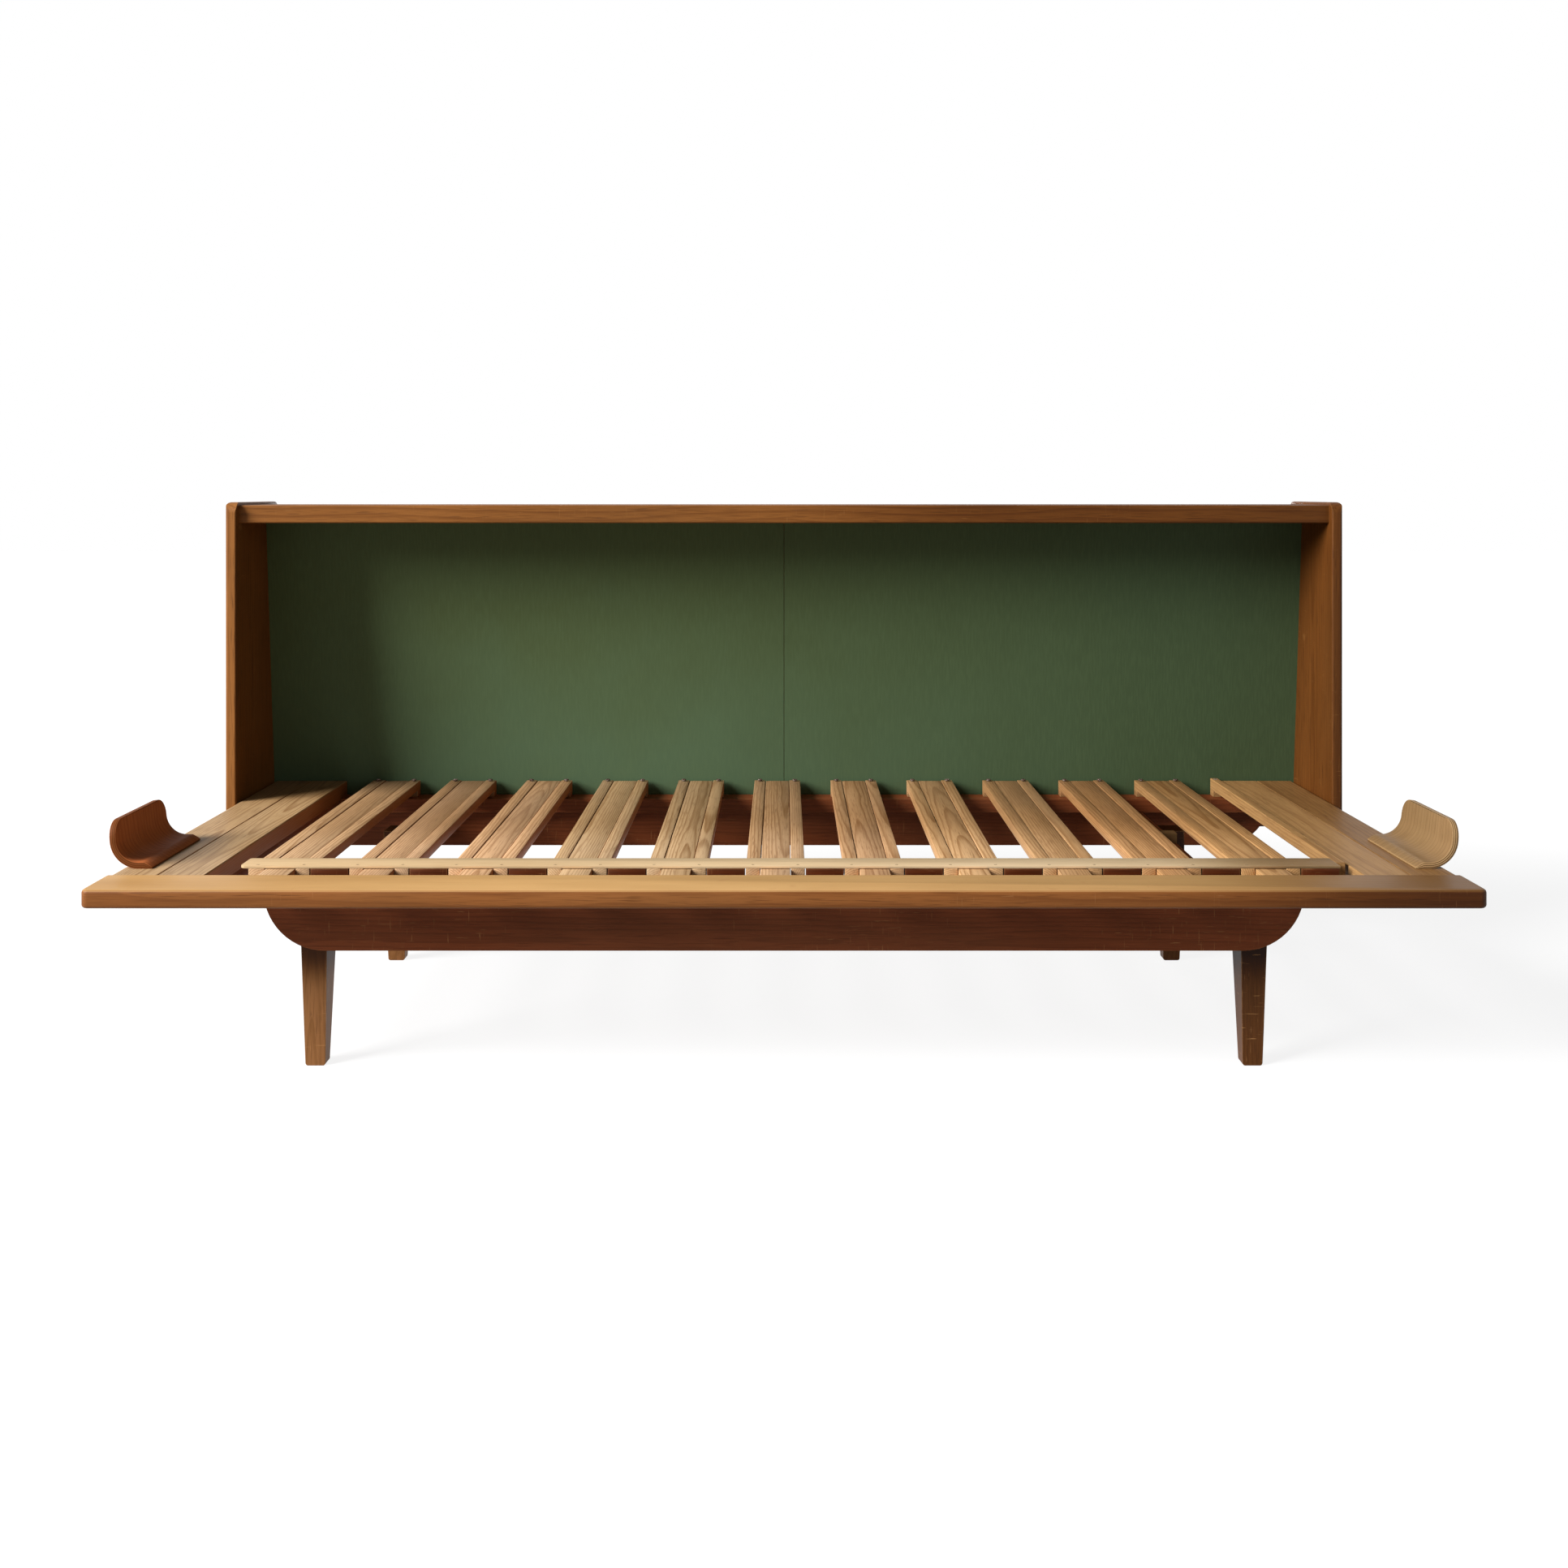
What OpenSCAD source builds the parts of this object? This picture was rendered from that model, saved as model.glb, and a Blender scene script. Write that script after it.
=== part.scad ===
// Sofa bed with a slatted deck that pulls out from under an open back case.
// Millimetres, +Z up, +X along the length, the front of the bed towards -Y.
// The origin lies on the floor, below the middle of the closed bed.
// The modules are drawn with Y = 0 at the deck's front face and moved back by placed().

/* [Deck] */
// Length of the deck, over the ends of the front rail
deck_len = 2000; // [1800:10:2200]
// Depth of the deck, from its front face to the rear ends of the boards
deck_depth = 840; // [780:5:900]
// Height of the deck's top above the floor
deck_top = 300; // [285:1:340]
// Thickness of the front rail, the end boards and the wide slats
deck_t = 27; // [24:0.5:32]
// Depth of the front rail
front_rail_w = 88; // [70:1:95]
// Plan radius at the front corners of the front rail
rail_corner_r = 22; // [10:1:35]
// Round-over along the deck's outer edges
deck_edge_r = 9; // [4:0.5:11]
// Width of each outer end board
outer_board_w = 73; // [66:1:80]
// Width of each inner end board
inner_board_w = 70; // [60:1:80]
// Bevel on both edges of a seam between two boards
seam_bevel = 1.5; // [0.5:0.25:3]
// Thickness of the tenons at the front ends of the slats and boards
tenon_t = 11; // [8:0.5:14]
// Length of those tenons
tenon_len = 22; // [15:1:30]
// Clearance of the tenons in their mortises
tenon_fit = 0.15; // [0.1:0.05:0.3]
// Shoulder left on each side of a tenon
tenon_shoulder = 5; // [3:0.5:8]
// How far the deck pulls out
deck_travel = 240; // [150:10:300]

/* [Slat combs] */
// Number of wide slats
slat_count = 11; // [9:1:12]
// Width of a wide slat, which moves with the deck
wide_slat_w = 45; // [38:0.5:50]
// Width of a narrow slat, which stays on the base
narrow_slat_w = 21; // [16:0.5:24]
// Width of the first narrow slat, at the left end
first_slat_w = 24; // [20:0.5:34]
// Open gap between the left inner board and the first narrow slat
left_open = 52; // [40:1:70]
// Width of the single end slat beside the right inner board
end_slat_w = 14.5; // [12:0.5:20]
// Open gap between the last group of slats and the end slat
right_open = 60.5; // [45:0.5:75]
// Running gap between the end slat and the right inner board
end_clear = 6; // [3:0.5:10]
// How far the end slat's front end lies behind those of the other narrow slats
end_slat_setback = 22; // [21.5:0.5:40]
// Side clearance between a wide slat and the narrow slats beside it
slat_clear = 1; // [0.5:0.25:2]
// How far the narrow slats stand above the wide slats
slat_proud = 5; // [3:0.5:8]
// Rounding on the upper edges of the slats
slat_edge_r = 1.5; // [0.5:0.25:3]
// How far the narrow slats' front ends lie behind the front base rail's face
slat_setback = 4; // [2:0.5:8]
// How far the narrow slats' rear ends stop short of the rear base rail's back
slat_rear_gap = 2; // [1:0.5:5]
// Relief under the narrow slats between the base rails, where the tie rail passes
slat_relief = 12; // [4:0.5:14]

/* [Cross batten] */
// Depth of the batten let into the narrow slats
batten_w = 50; // [40:1:60]
// Gap between the batten's underside and the wide slats
batten_clear = 1; // [0.5:0.25:2]
// How far the batten stands out past the first narrow slat
batten_left_over = 13; // [0:1:25]
// Clearance behind the batten in its rebate
batten_fit = 0.2; // [0.1:0.05:0.4]
// Distance of the screws from the batten's front edge
batten_screw_in = 8; // [6:0.5:12]

/* [Base] */
// Setback of the front base rail behind the deck's front face
base_setback = 120; // [105:1:140]
// Height of the long base rails
base_rail_h = 94; // [80:1:105]
// Thickness of the long base rails
base_rail_t = 25; // [22:1:30]
// Upright edge left at the ends of the base rails, above their quarter rounds
base_end_edge = 2; // [1:0.5:20]
// Inset of the front base rail from each end of the deck
front_base_inset = 219; // [180:1:240]
// Inset of the rear base rail from each end of the deck
rear_base_inset = 55; // [40:1:90]
// Gap between the boards' rear ends and the plane of the rear base rail's back
base_rear_gap = 3; // [2:0.5:6]
// Thickness of the cross rails
cross_rail_t = 25; // [20:1:30]
// Height of the cross rails
cross_rail_h = 60; // [50:1:62]
// Running clearance between sliding faces
run_clear = 0.3; // [0.2:0.05:0.6]
// Diameter of the dowels in the base
base_dowel_d = 10; // [8:0.5:12]
// Depth of a base dowel in the long rail
base_dowel_in = 15; // [12:1:18]
// Depth of a base dowel in the cross rail
base_dowel_out = 25; // [20:1:30]
// Height of each dowel above and below the middle of the cross rail
base_dowel_rise = 14; // [11:0.5:17]

/* [Tie rail and travel blocks] */
// Depth of the tie rail under the wide slats
tie_w = 22; // [18:1:30]
// Height of the tie rail
tie_h = 26; // [22:1:28]
// Inset of the tie rail from each end of the deck
tie_inset = 15; // [10:1:30]
// Length of the blocks that end the deck's travel
block_len = 25; // [20:1:40]
// Height of those blocks
block_h = 18; // [12:1:20]

/* [Legs] */
// Distance from the deck's end to the middle of a leg
leg_inset = 287.5; // [260:0.5:320]
// Width of a leg at the rail
leg_w = 39; // [34:1:45]
// Depth of a leg at the rail
leg_d = 50; // [44:1:58]
// Width of the foot
foot_w = 30; // [24:1:34]
// Depth of the foot
foot_d = 23; // [20:1:36]
// How far the foot leans out past the upper part of the leg
foot_lean = 7.5; // [0:0.5:12]
// Radius at the foot's side corners
foot_r = 4; // [2:0.5:6]
// Distance between the front face of the front legs and the back face of the rear legs
leg_span = 537.5; // [480:0.5:580]

/* [Back case] */
// Depth of the case
case_depth = 239; // [200:1:270]
// Height of the case's top above the floor
case_top = 848; // [760:1:900]
// Height of the case's lower edge above the floor
case_bottom = 210; // [195:1:225]
// Thickness of the side panels
case_side_t = 20; // [18:0.5:26]
// Gap between the deck's ends and the side panels
case_side_gap = 1.5; // [1:0.25:4]
// Radius at the upper corners of the side panels
case_corner_r = 20; // [8:1:40]
// Rounding on the front edges of the side panels
case_edge_r = 6; // [2:0.5:8]
// Thickness of the top board
top_board_t = 33; // [26:0.5:38]
// How far the top board lies below the tops of the side panels
top_board_drop = 5.5; // [2:0.5:10]
// How far the top board lies behind the fronts of the side panels
top_board_recess = 16; // [5:1:25]
// Rounding along the top board's front edges
top_board_edge_r = 3; // [1:0.5:6]
// Thickness of the bottom rail
case_rail_t = 26; // [24:1:32]
// Depth of the rebate in the bottom rail below the deck's top
rebate_drop = 38; // [30:1:50]

/* [Back panel] */
// Thickness of the back panels
panel_t = 7; // [5:0.5:8]
// Forward lean of the back panels in degrees
panel_lean = 5.5; // [3:0.25:6]
// Gap between the boards' rear ends and the panel at the deck's top
panel_gap = 6; // [4:0.5:8]
// Width of the seam between the two panels
panel_seam = 1; // [0.5:0.25:2]
// Depth of the grooves that hold the panels
groove_depth = 8; // [5:0.5:10]
// Clearance of the panels in their grooves
groove_fit = 0.3; // [0.2:0.05:0.6]
// Width of the stile behind the seam
stile_w = 70; // [50:1:90]
// Thickness of that stile
stile_t = 12; // [9:0.5:13]

/* [Mattress stops] */
// Length of a stop along the deck's side
stop_len = 194; // [150:1:230]
// Distance from the deck's front face to a stop
stop_setback = 126; // [105:1:150]
// Thickness of the bent plywood
stop_t = 10; // [8:0.5:12]
// Height of a stop above the deck
stop_h = 70; // [55:1:90]
// Outer radius of the bend
stop_bend_r = 44; // [36:1:52]
// Angle of the bend
stop_bend_angle = 84; // [75:1:90]
// Distance from the middle of the bend to the deck's end
stop_bend_inset = 29.3; // [25:0.1:40]
// Length of the flat foot inside the bend
stop_foot_len = 21; // [16:0.5:26]
// Length of the taper at the tip of the foot
stop_taper_len = 12; // [6:0.5:14]
// Thickness left at the tip of the foot
stop_tip_t = 3; // [1.5:0.5:5]
// Radius at the stop's upper corners
stop_corner_r = 28; // [10:1:35]

/* [Fasteners] */
// Shank diameter of the wood screws
screw_d = 5; // [4:0.5:6]
// Head diameter of the wood screws
screw_head_d = 9; // [8:0.5:10]
// Length of a screw beyond the piece that it holds down
screw_bite = 15; // [10:0.5:17]
// Radial clearance of screws and dowels in their holes
hole_fit = 0.15; // [0.1:0.05:0.3]
// Shank diameter of the leg screws
leg_screw_d = 8; // [6:1:10]
// Width of the leg screws' hexagonal heads, over the corners
leg_head_d = 15; // [12:1:17]
// Height of those heads
leg_head_h = 5; // [4:0.5:7]
// Distance of the leg screws from the leg's face nearest the end of the base
leg_screw_in = 37; // [35:0.5:40]
// Height of each leg screw above and below the middle of the cross rail
leg_screw_rise = 16; // [13:0.5:18]
// Depth of a leg screw in the leg
leg_screw_bite = 28; // [20:1:34]
// Diameter of the dowels in the case
case_dowel_d = 8; // [6:0.5:9]
// Depth of a case dowel in the side panel
case_dowel_in = 12; // [8:0.5:14]
// Depth of a case dowel in the board or rail
case_dowel_out = 25; // [18:1:30]
// Distance of the outer case dowels from the edges of the board or rail
case_dowel_edge = 13; // [10:0.5:16]
// Number of screws through the bottom rail
case_screw_count = 4; // [3:1:6]
// Distance of the outermost of those screws from the deck's ends
case_screw_inset = 300; // [240:10:360]
// Depth of a stop's screws in its foot
stop_screw_bite = 7; // [5:0.5:7.5]
// Distance of a stop's outer screws from its ends
stop_screw_edge = 30; // [15:1:45]

/* [Hidden] */
$fn = 48;
SLATS = [for (i = [1:slat_count]) i];
function two_digits(i) = str(i < 10 ? "0" : "", i);

oak = [0.72, 0.53, 0.34];
brown_oak = [0.45, 0.27, 0.14];
pale_wood = [0.84, 0.71, 0.54];
panel_green = [0.29, 0.38, 0.26];
steel = [0.62, 0.60, 0.56];
past = 1; // how far a cutter reaches past the face it cuts

// So many places at even distances, from a to b
function spread(a, b, count) = [for (k = [0:count - 1]) a + (b - a) * k / (count - 1)];

// Heights
deck_under = deck_top - deck_t;
base_top = deck_under - run_clear;
base_under = base_top - base_rail_h;
tie_under = deck_under - tie_h;
cross_top = tie_under - run_clear;
cross_mid = cross_top - cross_rail_h / 2;
slat_top = deck_top + slat_proud;
batten_under = deck_top + batten_clear;
top_board_top = case_top - top_board_drop;
top_board_under = top_board_top - top_board_t;
rebate_z = deck_top - rebate_drop;

// Places from the deck's front face to the back
base_front = base_setback;
base_front_back = base_front + base_rail_t;
base_rear_back = deck_depth + base_rear_gap;
base_rear_front = base_rear_back - base_rail_t;
slat_front = base_front + slat_setback;
slat_rear = base_rear_back - slat_rear_gap;
batten_rear = slat_front + batten_w;
tie_rear = base_rear_front - run_clear;
tie_front = tie_rear - tie_w;
case_rear = base_rear_back + case_rail_t;
case_front = case_rear - case_depth;
top_board_front = case_front + top_board_recess;
overall_depth = case_rear;

// Places from the middle to the ends
deck_end = deck_len / 2;
board_seam_x = deck_end - outer_board_w;
field_end = board_seam_x - inner_board_w;
case_in = deck_end + case_side_gap;
case_out = case_in + case_side_t;
leg_x = deck_end - leg_inset;
cross_out = leg_x - leg_w / 2;
cross_in = cross_out - cross_rail_t;

// The slat combs, from left to right
group_half = wide_slat_w / 2 + slat_clear + narrow_slat_w;
first_left = -field_end + left_open;
first_centre = first_left + first_slat_w + slat_clear + wide_slat_w / 2;
end_slat_right = field_end - end_clear;
end_slat_left = end_slat_right - end_slat_w;
last_centre = end_slat_left - right_open - group_half;
slat_pitch = (last_centre - first_centre) / (slat_count - 1);
function group_x(i) = first_centre + (i - 1) * slat_pitch;
function left_slat_w(i) = i == 1 ? first_slat_w : narrow_slat_w;
function left_slat_x(i) = group_x(i) - wide_slat_w / 2 - slat_clear - left_slat_w(i);
function right_slat_x(i) = group_x(i) + wide_slat_w / 2 + slat_clear;
narrow_middles = concat(
  [for (i = SLATS) left_slat_x(i) + left_slat_w(i) / 2],
  [for (i = SLATS) right_slat_x(i) + narrow_slat_w / 2]
);

// The leaning back panel
lean = tan(panel_lean);
panel_run = panel_t / cos(panel_lean);
stile_run = stile_t / cos(panel_lean);
function panel_front(z) = deck_depth + panel_gap - lean * (z - deck_top);
function panel_back(z) = panel_front(z) + panel_run;
panel_top_z = top_board_under + groove_depth - groove_fit;

// Screw places
slat_screw_x = concat(narrow_middles, [end_slat_left + end_slat_w / 2]);
batten_screw_y = slat_front + batten_screw_in;
rear_screw_y = base_rear_back - base_rail_t / 2;
tie_screw_y = tie_front + tie_w / 2;
head_h = (screw_head_d - screw_d) / 2;
case_screw_z = (case_bottom + rebate_z) / 2;
case_screw_x = spread(case_screw_inset - deck_end, deck_end - case_screw_inset, case_screw_count);
outer_board_x = deck_end - outer_board_w / 2;
inner_board_x = board_seam_x - inner_board_w / 2;
tie_screw_x = concat(
  [for (i = SLATS) group_x(i)],
  [-outer_board_x, -inner_board_x, inner_board_x, outer_board_x]
);

// Helpers

module placed() translate([0, -overall_depth / 2, 0]) children();

// Mirrors a left-hand or right-hand piece: side is 1 on the right and -1 on the left
module on_side(side) {
  if (side > 0) children();
  else mirror([1, 0, 0]) children();
}

// The waste outside a quarter round whose corner lies at the origin
module corner_waste(r) {
  if (r > 0) difference() {
    translate([-past, -past]) square(r + past);
    translate([r, r]) circle(r);
  }
}

// Rectangle with a radius for each corner: bottom left, bottom right, top right, top left
module outline(w, h, radii) {
  difference() {
    square([w, h]);
    corner_waste(radii[0]);
    translate([w, 0]) mirror([1, 0]) corner_waste(radii[1]);
    translate([w, h]) rotate(180) corner_waste(radii[2]);
    translate([0, h]) mirror([0, 1]) corner_waste(radii[3]);
  }
}

// Runs a profile drawn in X and Z along Y, from y0 to y1
module along_y(y0, y1) translate([0, y1, 0]) rotate([90, 0, 0]) linear_extrude(y1 - y0) children();

// Runs a profile drawn in Y and Z along X, from x0 to x1
module along_x(x0, x1) translate([x0, 0, 0]) rotate([90, 0, 90]) linear_extrude(x1 - x0) children();

// Box given by two opposite corners
module block(low, high) translate(low) cube(high - low);

// Round bar along Y or X, from one end to the other
module pin_y(d, x, y0, y1, z) translate([x, y0, z]) rotate([-90, 0, 0]) cylinder(d = d, h = y1 - y0);
module pin_x(d, x0, x1, y, z) translate([x0, y, z]) rotate([0, 90, 0]) cylinder(d = d, h = x1 - x0);

// Countersunk screw standing on its tip, head up: grow widens it into its own hole, whose
// cone then goes on past the face
module screw(len, grow = 0) {
  over = grow > 0 ? past : 0;
  cylinder(d = screw_d + 2 * grow, h = len);
  translate([0, 0, len - head_h]) cylinder(
    d1 = screw_d + 2 * grow, d2 = screw_head_d + 2 * (grow + over), h = head_h + over
  );
}

module screw_down(x, y, z, len, grow = 0) translate([x, y, z - len]) screw(len, grow);
module screw_up(x, y, z, len, grow = 0) translate([x, y, z + len]) mirror([0, 0, 1]) screw(len, grow);

// Base

// Long rail with quarter rounds at its lower ends
module base_rail(inset, y0, y1) {
  len = deck_len - 2 * inset;
  r = base_rail_h - base_end_edge;
  translate([-len / 2, 0, base_under]) along_y(y0, y1) outline(len, base_rail_h, [r, r, 0, 0]);
}

module base_dowel_set(grow = 0) {
  for (side = [-1, 1], rise = [-base_dowel_rise, base_dowel_rise]) {
    x = side * (cross_in + cross_rail_t / 2);
    d = base_dowel_d + 2 * grow;
    pin_y(d, x, base_front_back - base_dowel_in, base_front_back + base_dowel_out, cross_mid + rise);
    pin_y(d, x, base_rear_front - base_dowel_out, base_rear_front + base_dowel_in, cross_mid + rise);
  }
}

module front_base_rail() color(brown_oak) placed() difference() {
  base_rail(front_base_inset, base_front, base_front_back);
  base_dowel_set(hole_fit);
  batten_screw_set(hole_fit);
}

module rear_base_rail() color(brown_oak) placed() difference() {
  base_rail(rear_base_inset, base_rear_front, base_rear_back);
  base_dowel_set(hole_fit);
  slat_screw_set(hole_fit);
  case_screw_set(hole_fit);
}

module cross_rail(side) color(brown_oak) placed() difference() {
  on_side(side) block(
    [cross_in, base_front_back, cross_top - cross_rail_h],
    [cross_out, base_rear_front, cross_top]
  );
  base_dowel_set(hole_fit);
  leg_screw_set(hole_fit);
}

module base_dowels() color(pale_wood) placed() base_dowel_set();

module travel_block(side) color(pale_wood) placed() on_side(side) block(
  [cross_in, tie_front - deck_travel - run_clear - block_len, cross_top],
  [cross_out, tie_front - deck_travel - run_clear, cross_top + block_h]
);

// Leg with one straight side and one tapered side, its straight side at X = 0
// and the front face of its upper part at Y = 0
module leg_blank() {
  intersection() {
    along_y(-foot_lean - past, leg_d + past) difference() {
      polygon([
        [0, 0], [foot_w, 0], [leg_w, base_under], [leg_w, cross_top], [0, cross_top]
      ]);
      corner_waste(foot_r);
      translate([foot_w, 0]) mirror([1, 0]) corner_waste(foot_r);
    }
    along_x(-past, leg_w + past) polygon([
      [-foot_lean, 0], [foot_d - foot_lean, 0], [leg_d, base_under],
      [leg_d, cross_top], [0, cross_top], [0, base_under]
    ]);
  }
}

// The same leg serves at the back, turned half round
module leg(side, rear) color(brown_oak) placed() difference() {
  on_side(side) translate([leg_x, base_front_back, 0]) {
    if (rear) translate([leg_w / 2, leg_span, 0]) rotate(180) leg_blank();
    else translate([-leg_w / 2, 0, 0]) leg_blank();
  }
  leg_screw_set(hole_fit);
}

module leg_screw_set(grow = 0) {
  front_y = base_front_back + leg_screw_in;
  rear_y = base_front_back + leg_span - leg_screw_in;
  for (side = [-1, 1], y = [front_y, rear_y], rise = [-leg_screw_rise, leg_screw_rise]) on_side(side) {
    z = cross_mid + rise;
    x0 = cross_in - (grow > 0 ? past : 0);
    pin_x(leg_screw_d + 2 * grow, x0, cross_out + leg_screw_bite, y, z);
    if (grow == 0) translate([cross_in - leg_head_h, y, z])
      rotate([0, 90, 0]) cylinder(d = leg_head_d, h = leg_head_h, $fn = 6);
  }
}

module leg_screws() color(steel) placed() leg_screw_set();

// Fixed comb

// Slat with a foot on each base rail; where it is not rebated, the batten stops beside it
module narrow_slat(x, w, front = slat_front, rebated = true) {
  difference() {
    translate([x, 0, base_top]) along_y(front, slat_rear)
      outline(w, slat_top - base_top, [0, 0, slat_edge_r, slat_edge_r]);
    block(
      [x - past, base_front_back, base_top - past],
      [x + w + past, base_rear_front, base_top + slat_relief]
    );
    if (rebated) block(
      [x - past, slat_front - past, batten_under],
      [x + w + past, batten_rear + batten_fit, slat_top + past]
    );
    batten_screw_set(hole_fit, x, x + w);
    slat_screw_set(hole_fit, x, x + w);
  }
}

module narrow_slats(i) color(oak) placed() {
  narrow_slat(left_slat_x(i), left_slat_w(i));
  narrow_slat(right_slat_x(i), narrow_slat_w);
}

module end_narrow_slat() color(oak) placed()
  narrow_slat(end_slat_left, end_slat_w, slat_front + end_slat_setback, false);

// A slat past the ends of the front base rail has a short screw, which stops inside it
function batten_screw_len(x) = slat_top - base_top
  + (abs(x) < deck_end - front_base_inset - screw_head_d ? screw_bite : -screw_head_d);

module batten_screw_set(grow = 0, x0 = -deck_len, x1 = deck_len) {
  for (x = narrow_middles) if (x > x0 && x < x1)
    screw_down(x, batten_screw_y, slat_top, batten_screw_len(x), grow);
}

module slat_screw_set(grow = 0, x0 = -deck_len, x1 = deck_len) {
  len = slat_top - base_top + screw_bite;
  for (x = slat_screw_x) if (x > x0 && x < x1) screw_down(x, rear_screw_y, slat_top, len, grow);
}

module cross_batten() color(pale_wood) placed() difference() {
  block(
    [first_left - batten_left_over, slat_front, batten_under],
    [end_slat_left, batten_rear, slat_top]
  );
  batten_screw_set(hole_fit);
}

module batten_screws() color(steel) placed() batten_screw_set();
module slat_screws() color(steel) placed() slat_screw_set();

// Back case

module case_dowel_set(grow = 0) {
  d = case_dowel_d + 2 * grow;
  board_z = top_board_top - top_board_t / 3;
  rail_y = case_rear - case_rail_t / 2;
  x0 = case_in - case_dowel_out;
  x1 = case_in + case_dowel_in;
  for (side = [-1, 1]) on_side(side) {
    for (y = spread(top_board_front + case_dowel_edge, case_rear - case_dowel_edge, 3))
      pin_x(d, x0, x1, y, board_z);
    for (z = [case_bottom + case_dowel_edge, rebate_z - case_dowel_edge]) pin_x(d, x0, x1, rail_y, z);
  }
}

// The panel's section, from z0 up to z1, thickened by grow on both faces
module panel_section(z0, z1, grow = 0) polygon([
  [panel_front(z0) - grow, z0], [panel_back(z0) + grow, z0],
  [panel_back(z1) + grow, z1], [panel_front(z1) - grow, z1]
]);

module side_panel(side) color(oak) placed() on_side(side) difference() {
  intersection() {
    along_x(case_in, case_out) translate([case_front, case_bottom]) outline(
      case_depth, case_top - case_bottom, [case_edge_r, 0, case_corner_r, case_corner_r]
    );
    translate([case_in, case_front, case_bottom]) linear_extrude(case_top - case_bottom)
      outline(case_side_t, case_depth, [case_edge_r / 2, case_edge_r, 0, 0]);
    translate([case_in, 0, case_bottom - past]) along_y(case_front - past, case_rear + past)
      outline(case_side_t, case_top - case_bottom + past, [0, 0, case_edge_r, case_edge_r / 2]);
  }
  along_x(case_in - past, case_in + groove_depth)
    panel_section(rebate_z, panel_top_z + groove_fit, groove_fit);
  case_dowel_set(hole_fit);
}

module top_board() color(oak) placed() difference() {
  along_x(-case_in, case_in) translate([top_board_front, top_board_under]) outline(
    case_rear - top_board_front, top_board_t, [top_board_edge_r, 0, 0, top_board_edge_r]
  );
  along_x(-case_in - past, case_in + past)
    panel_section(top_board_under - past, panel_top_z + groove_fit, groove_fit);
  case_dowel_set(hole_fit);
}

module case_bottom_rail() color(brown_oak) placed() difference() {
  along_x(-case_in, case_in) polygon([
    [base_rear_back, case_bottom], [case_rear, case_bottom], [case_rear, deck_top],
    [panel_back(deck_top), deck_top], [panel_back(rebate_z), rebate_z], [base_rear_back, rebate_z]
  ]);
  case_dowel_set(hole_fit);
  case_screw_set(hole_fit);
}

module back_panel(side) color(panel_green) placed() on_side(side)
  along_x(panel_seam / 2, case_in + groove_depth - groove_fit)
    panel_section(rebate_z, panel_top_z);

// Stile behind the seam, standing on the bottom rail and leaning with the panels
module back_stile() color(oak) placed() along_x(-stile_w / 2, stile_w / 2) polygon([
  [panel_back(deck_top), deck_top], [panel_back(deck_top) + stile_run, deck_top],
  [panel_back(top_board_under) + stile_run, top_board_under],
  [panel_back(top_board_under), top_board_under]
]);

module case_dowels() color(pale_wood) placed() case_dowel_set();

module case_screw_set(grow = 0) {
  for (x = case_screw_x) translate([x, case_rear - case_rail_t - screw_bite, case_screw_z])
    rotate([-90, 0, 0]) screw(case_rail_t + screw_bite, grow);
}

module case_screws() color(steel) placed() case_screw_set();

// Sliding deck

// Tenon between x0 and x1, at mid thickness, reaching into the front rail
module tenon(x0, x1, grow = 0) {
  mid = deck_under + deck_t / 2;
  block(
    [x0 + tenon_shoulder - grow, front_rail_w - tenon_len - grow, mid - tenon_t / 2 - grow],
    [x1 - tenon_shoulder + grow, front_rail_w + past, mid + tenon_t / 2 + grow]
  );
}

module all_tenons(grow) {
  for (i = SLATS) tenon(group_x(i) - wide_slat_w / 2, group_x(i) + wide_slat_w / 2, grow);
  for (side = [-1, 1]) on_side(side) {
    tenon(field_end, board_seam_x, grow);
    tenon(board_seam_x, deck_end, grow);
  }
}

module front_rail() color(oak) placed() difference() {
  intersection() {
    translate([-deck_end, 0, deck_under]) linear_extrude(deck_t)
      outline(deck_len, front_rail_w, [rail_corner_r, rail_corner_r, 0, 0]);
    along_x(-deck_end - past, deck_end + past) translate([0, deck_under])
      outline(front_rail_w + past, deck_t, [deck_edge_r, 0, 0, deck_edge_r]);
    translate([-deck_end, 0, deck_under]) along_y(-past, front_rail_w + past)
      outline(deck_len, deck_t, [deck_edge_r, deck_edge_r, deck_edge_r, deck_edge_r]);
  }
  all_tenons(tenon_fit);
}

module wide_slat(i) color(oak) placed() difference() {
  x = group_x(i) - wide_slat_w / 2;
  union() {
    translate([x, 0, deck_under]) along_y(front_rail_w, deck_depth)
      outline(wide_slat_w, deck_t, [0, 0, slat_edge_r, slat_edge_r]);
    tenon(x, x + wide_slat_w);
  }
  tie_screw_set(hole_fit, x, x + wide_slat_w);
}

// Rectangle with its upper edges bevelled for the seams: left and right are bevel sizes
module bevelled(w, left, right) polygon([
  [0, 0], [w, 0], [w, deck_t - right], [w - right, deck_t], [left, deck_t], [0, deck_t - left]
]);

module inner_board(side) color(oak) placed() difference() {
  on_side(side) {
    translate([field_end, 0, deck_under]) along_y(front_rail_w, deck_depth)
      bevelled(inner_board_w, seam_bevel, seam_bevel);
    tenon(field_end, board_seam_x);
  }
  tie_screw_set(hole_fit);
}

module outer_board(side) color(oak) placed() difference() {
  on_side(side) {
    translate([board_seam_x, 0, deck_under]) along_y(front_rail_w, deck_depth) intersection() {
      outline(outer_board_w, deck_t, [0, deck_edge_r, deck_edge_r, 0]);
      bevelled(outer_board_w, seam_bevel, 0);
    }
    tenon(board_seam_x, deck_end);
  }
  tie_screw_set(hole_fit);
  stop_screw_set(hole_fit);
}

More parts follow.
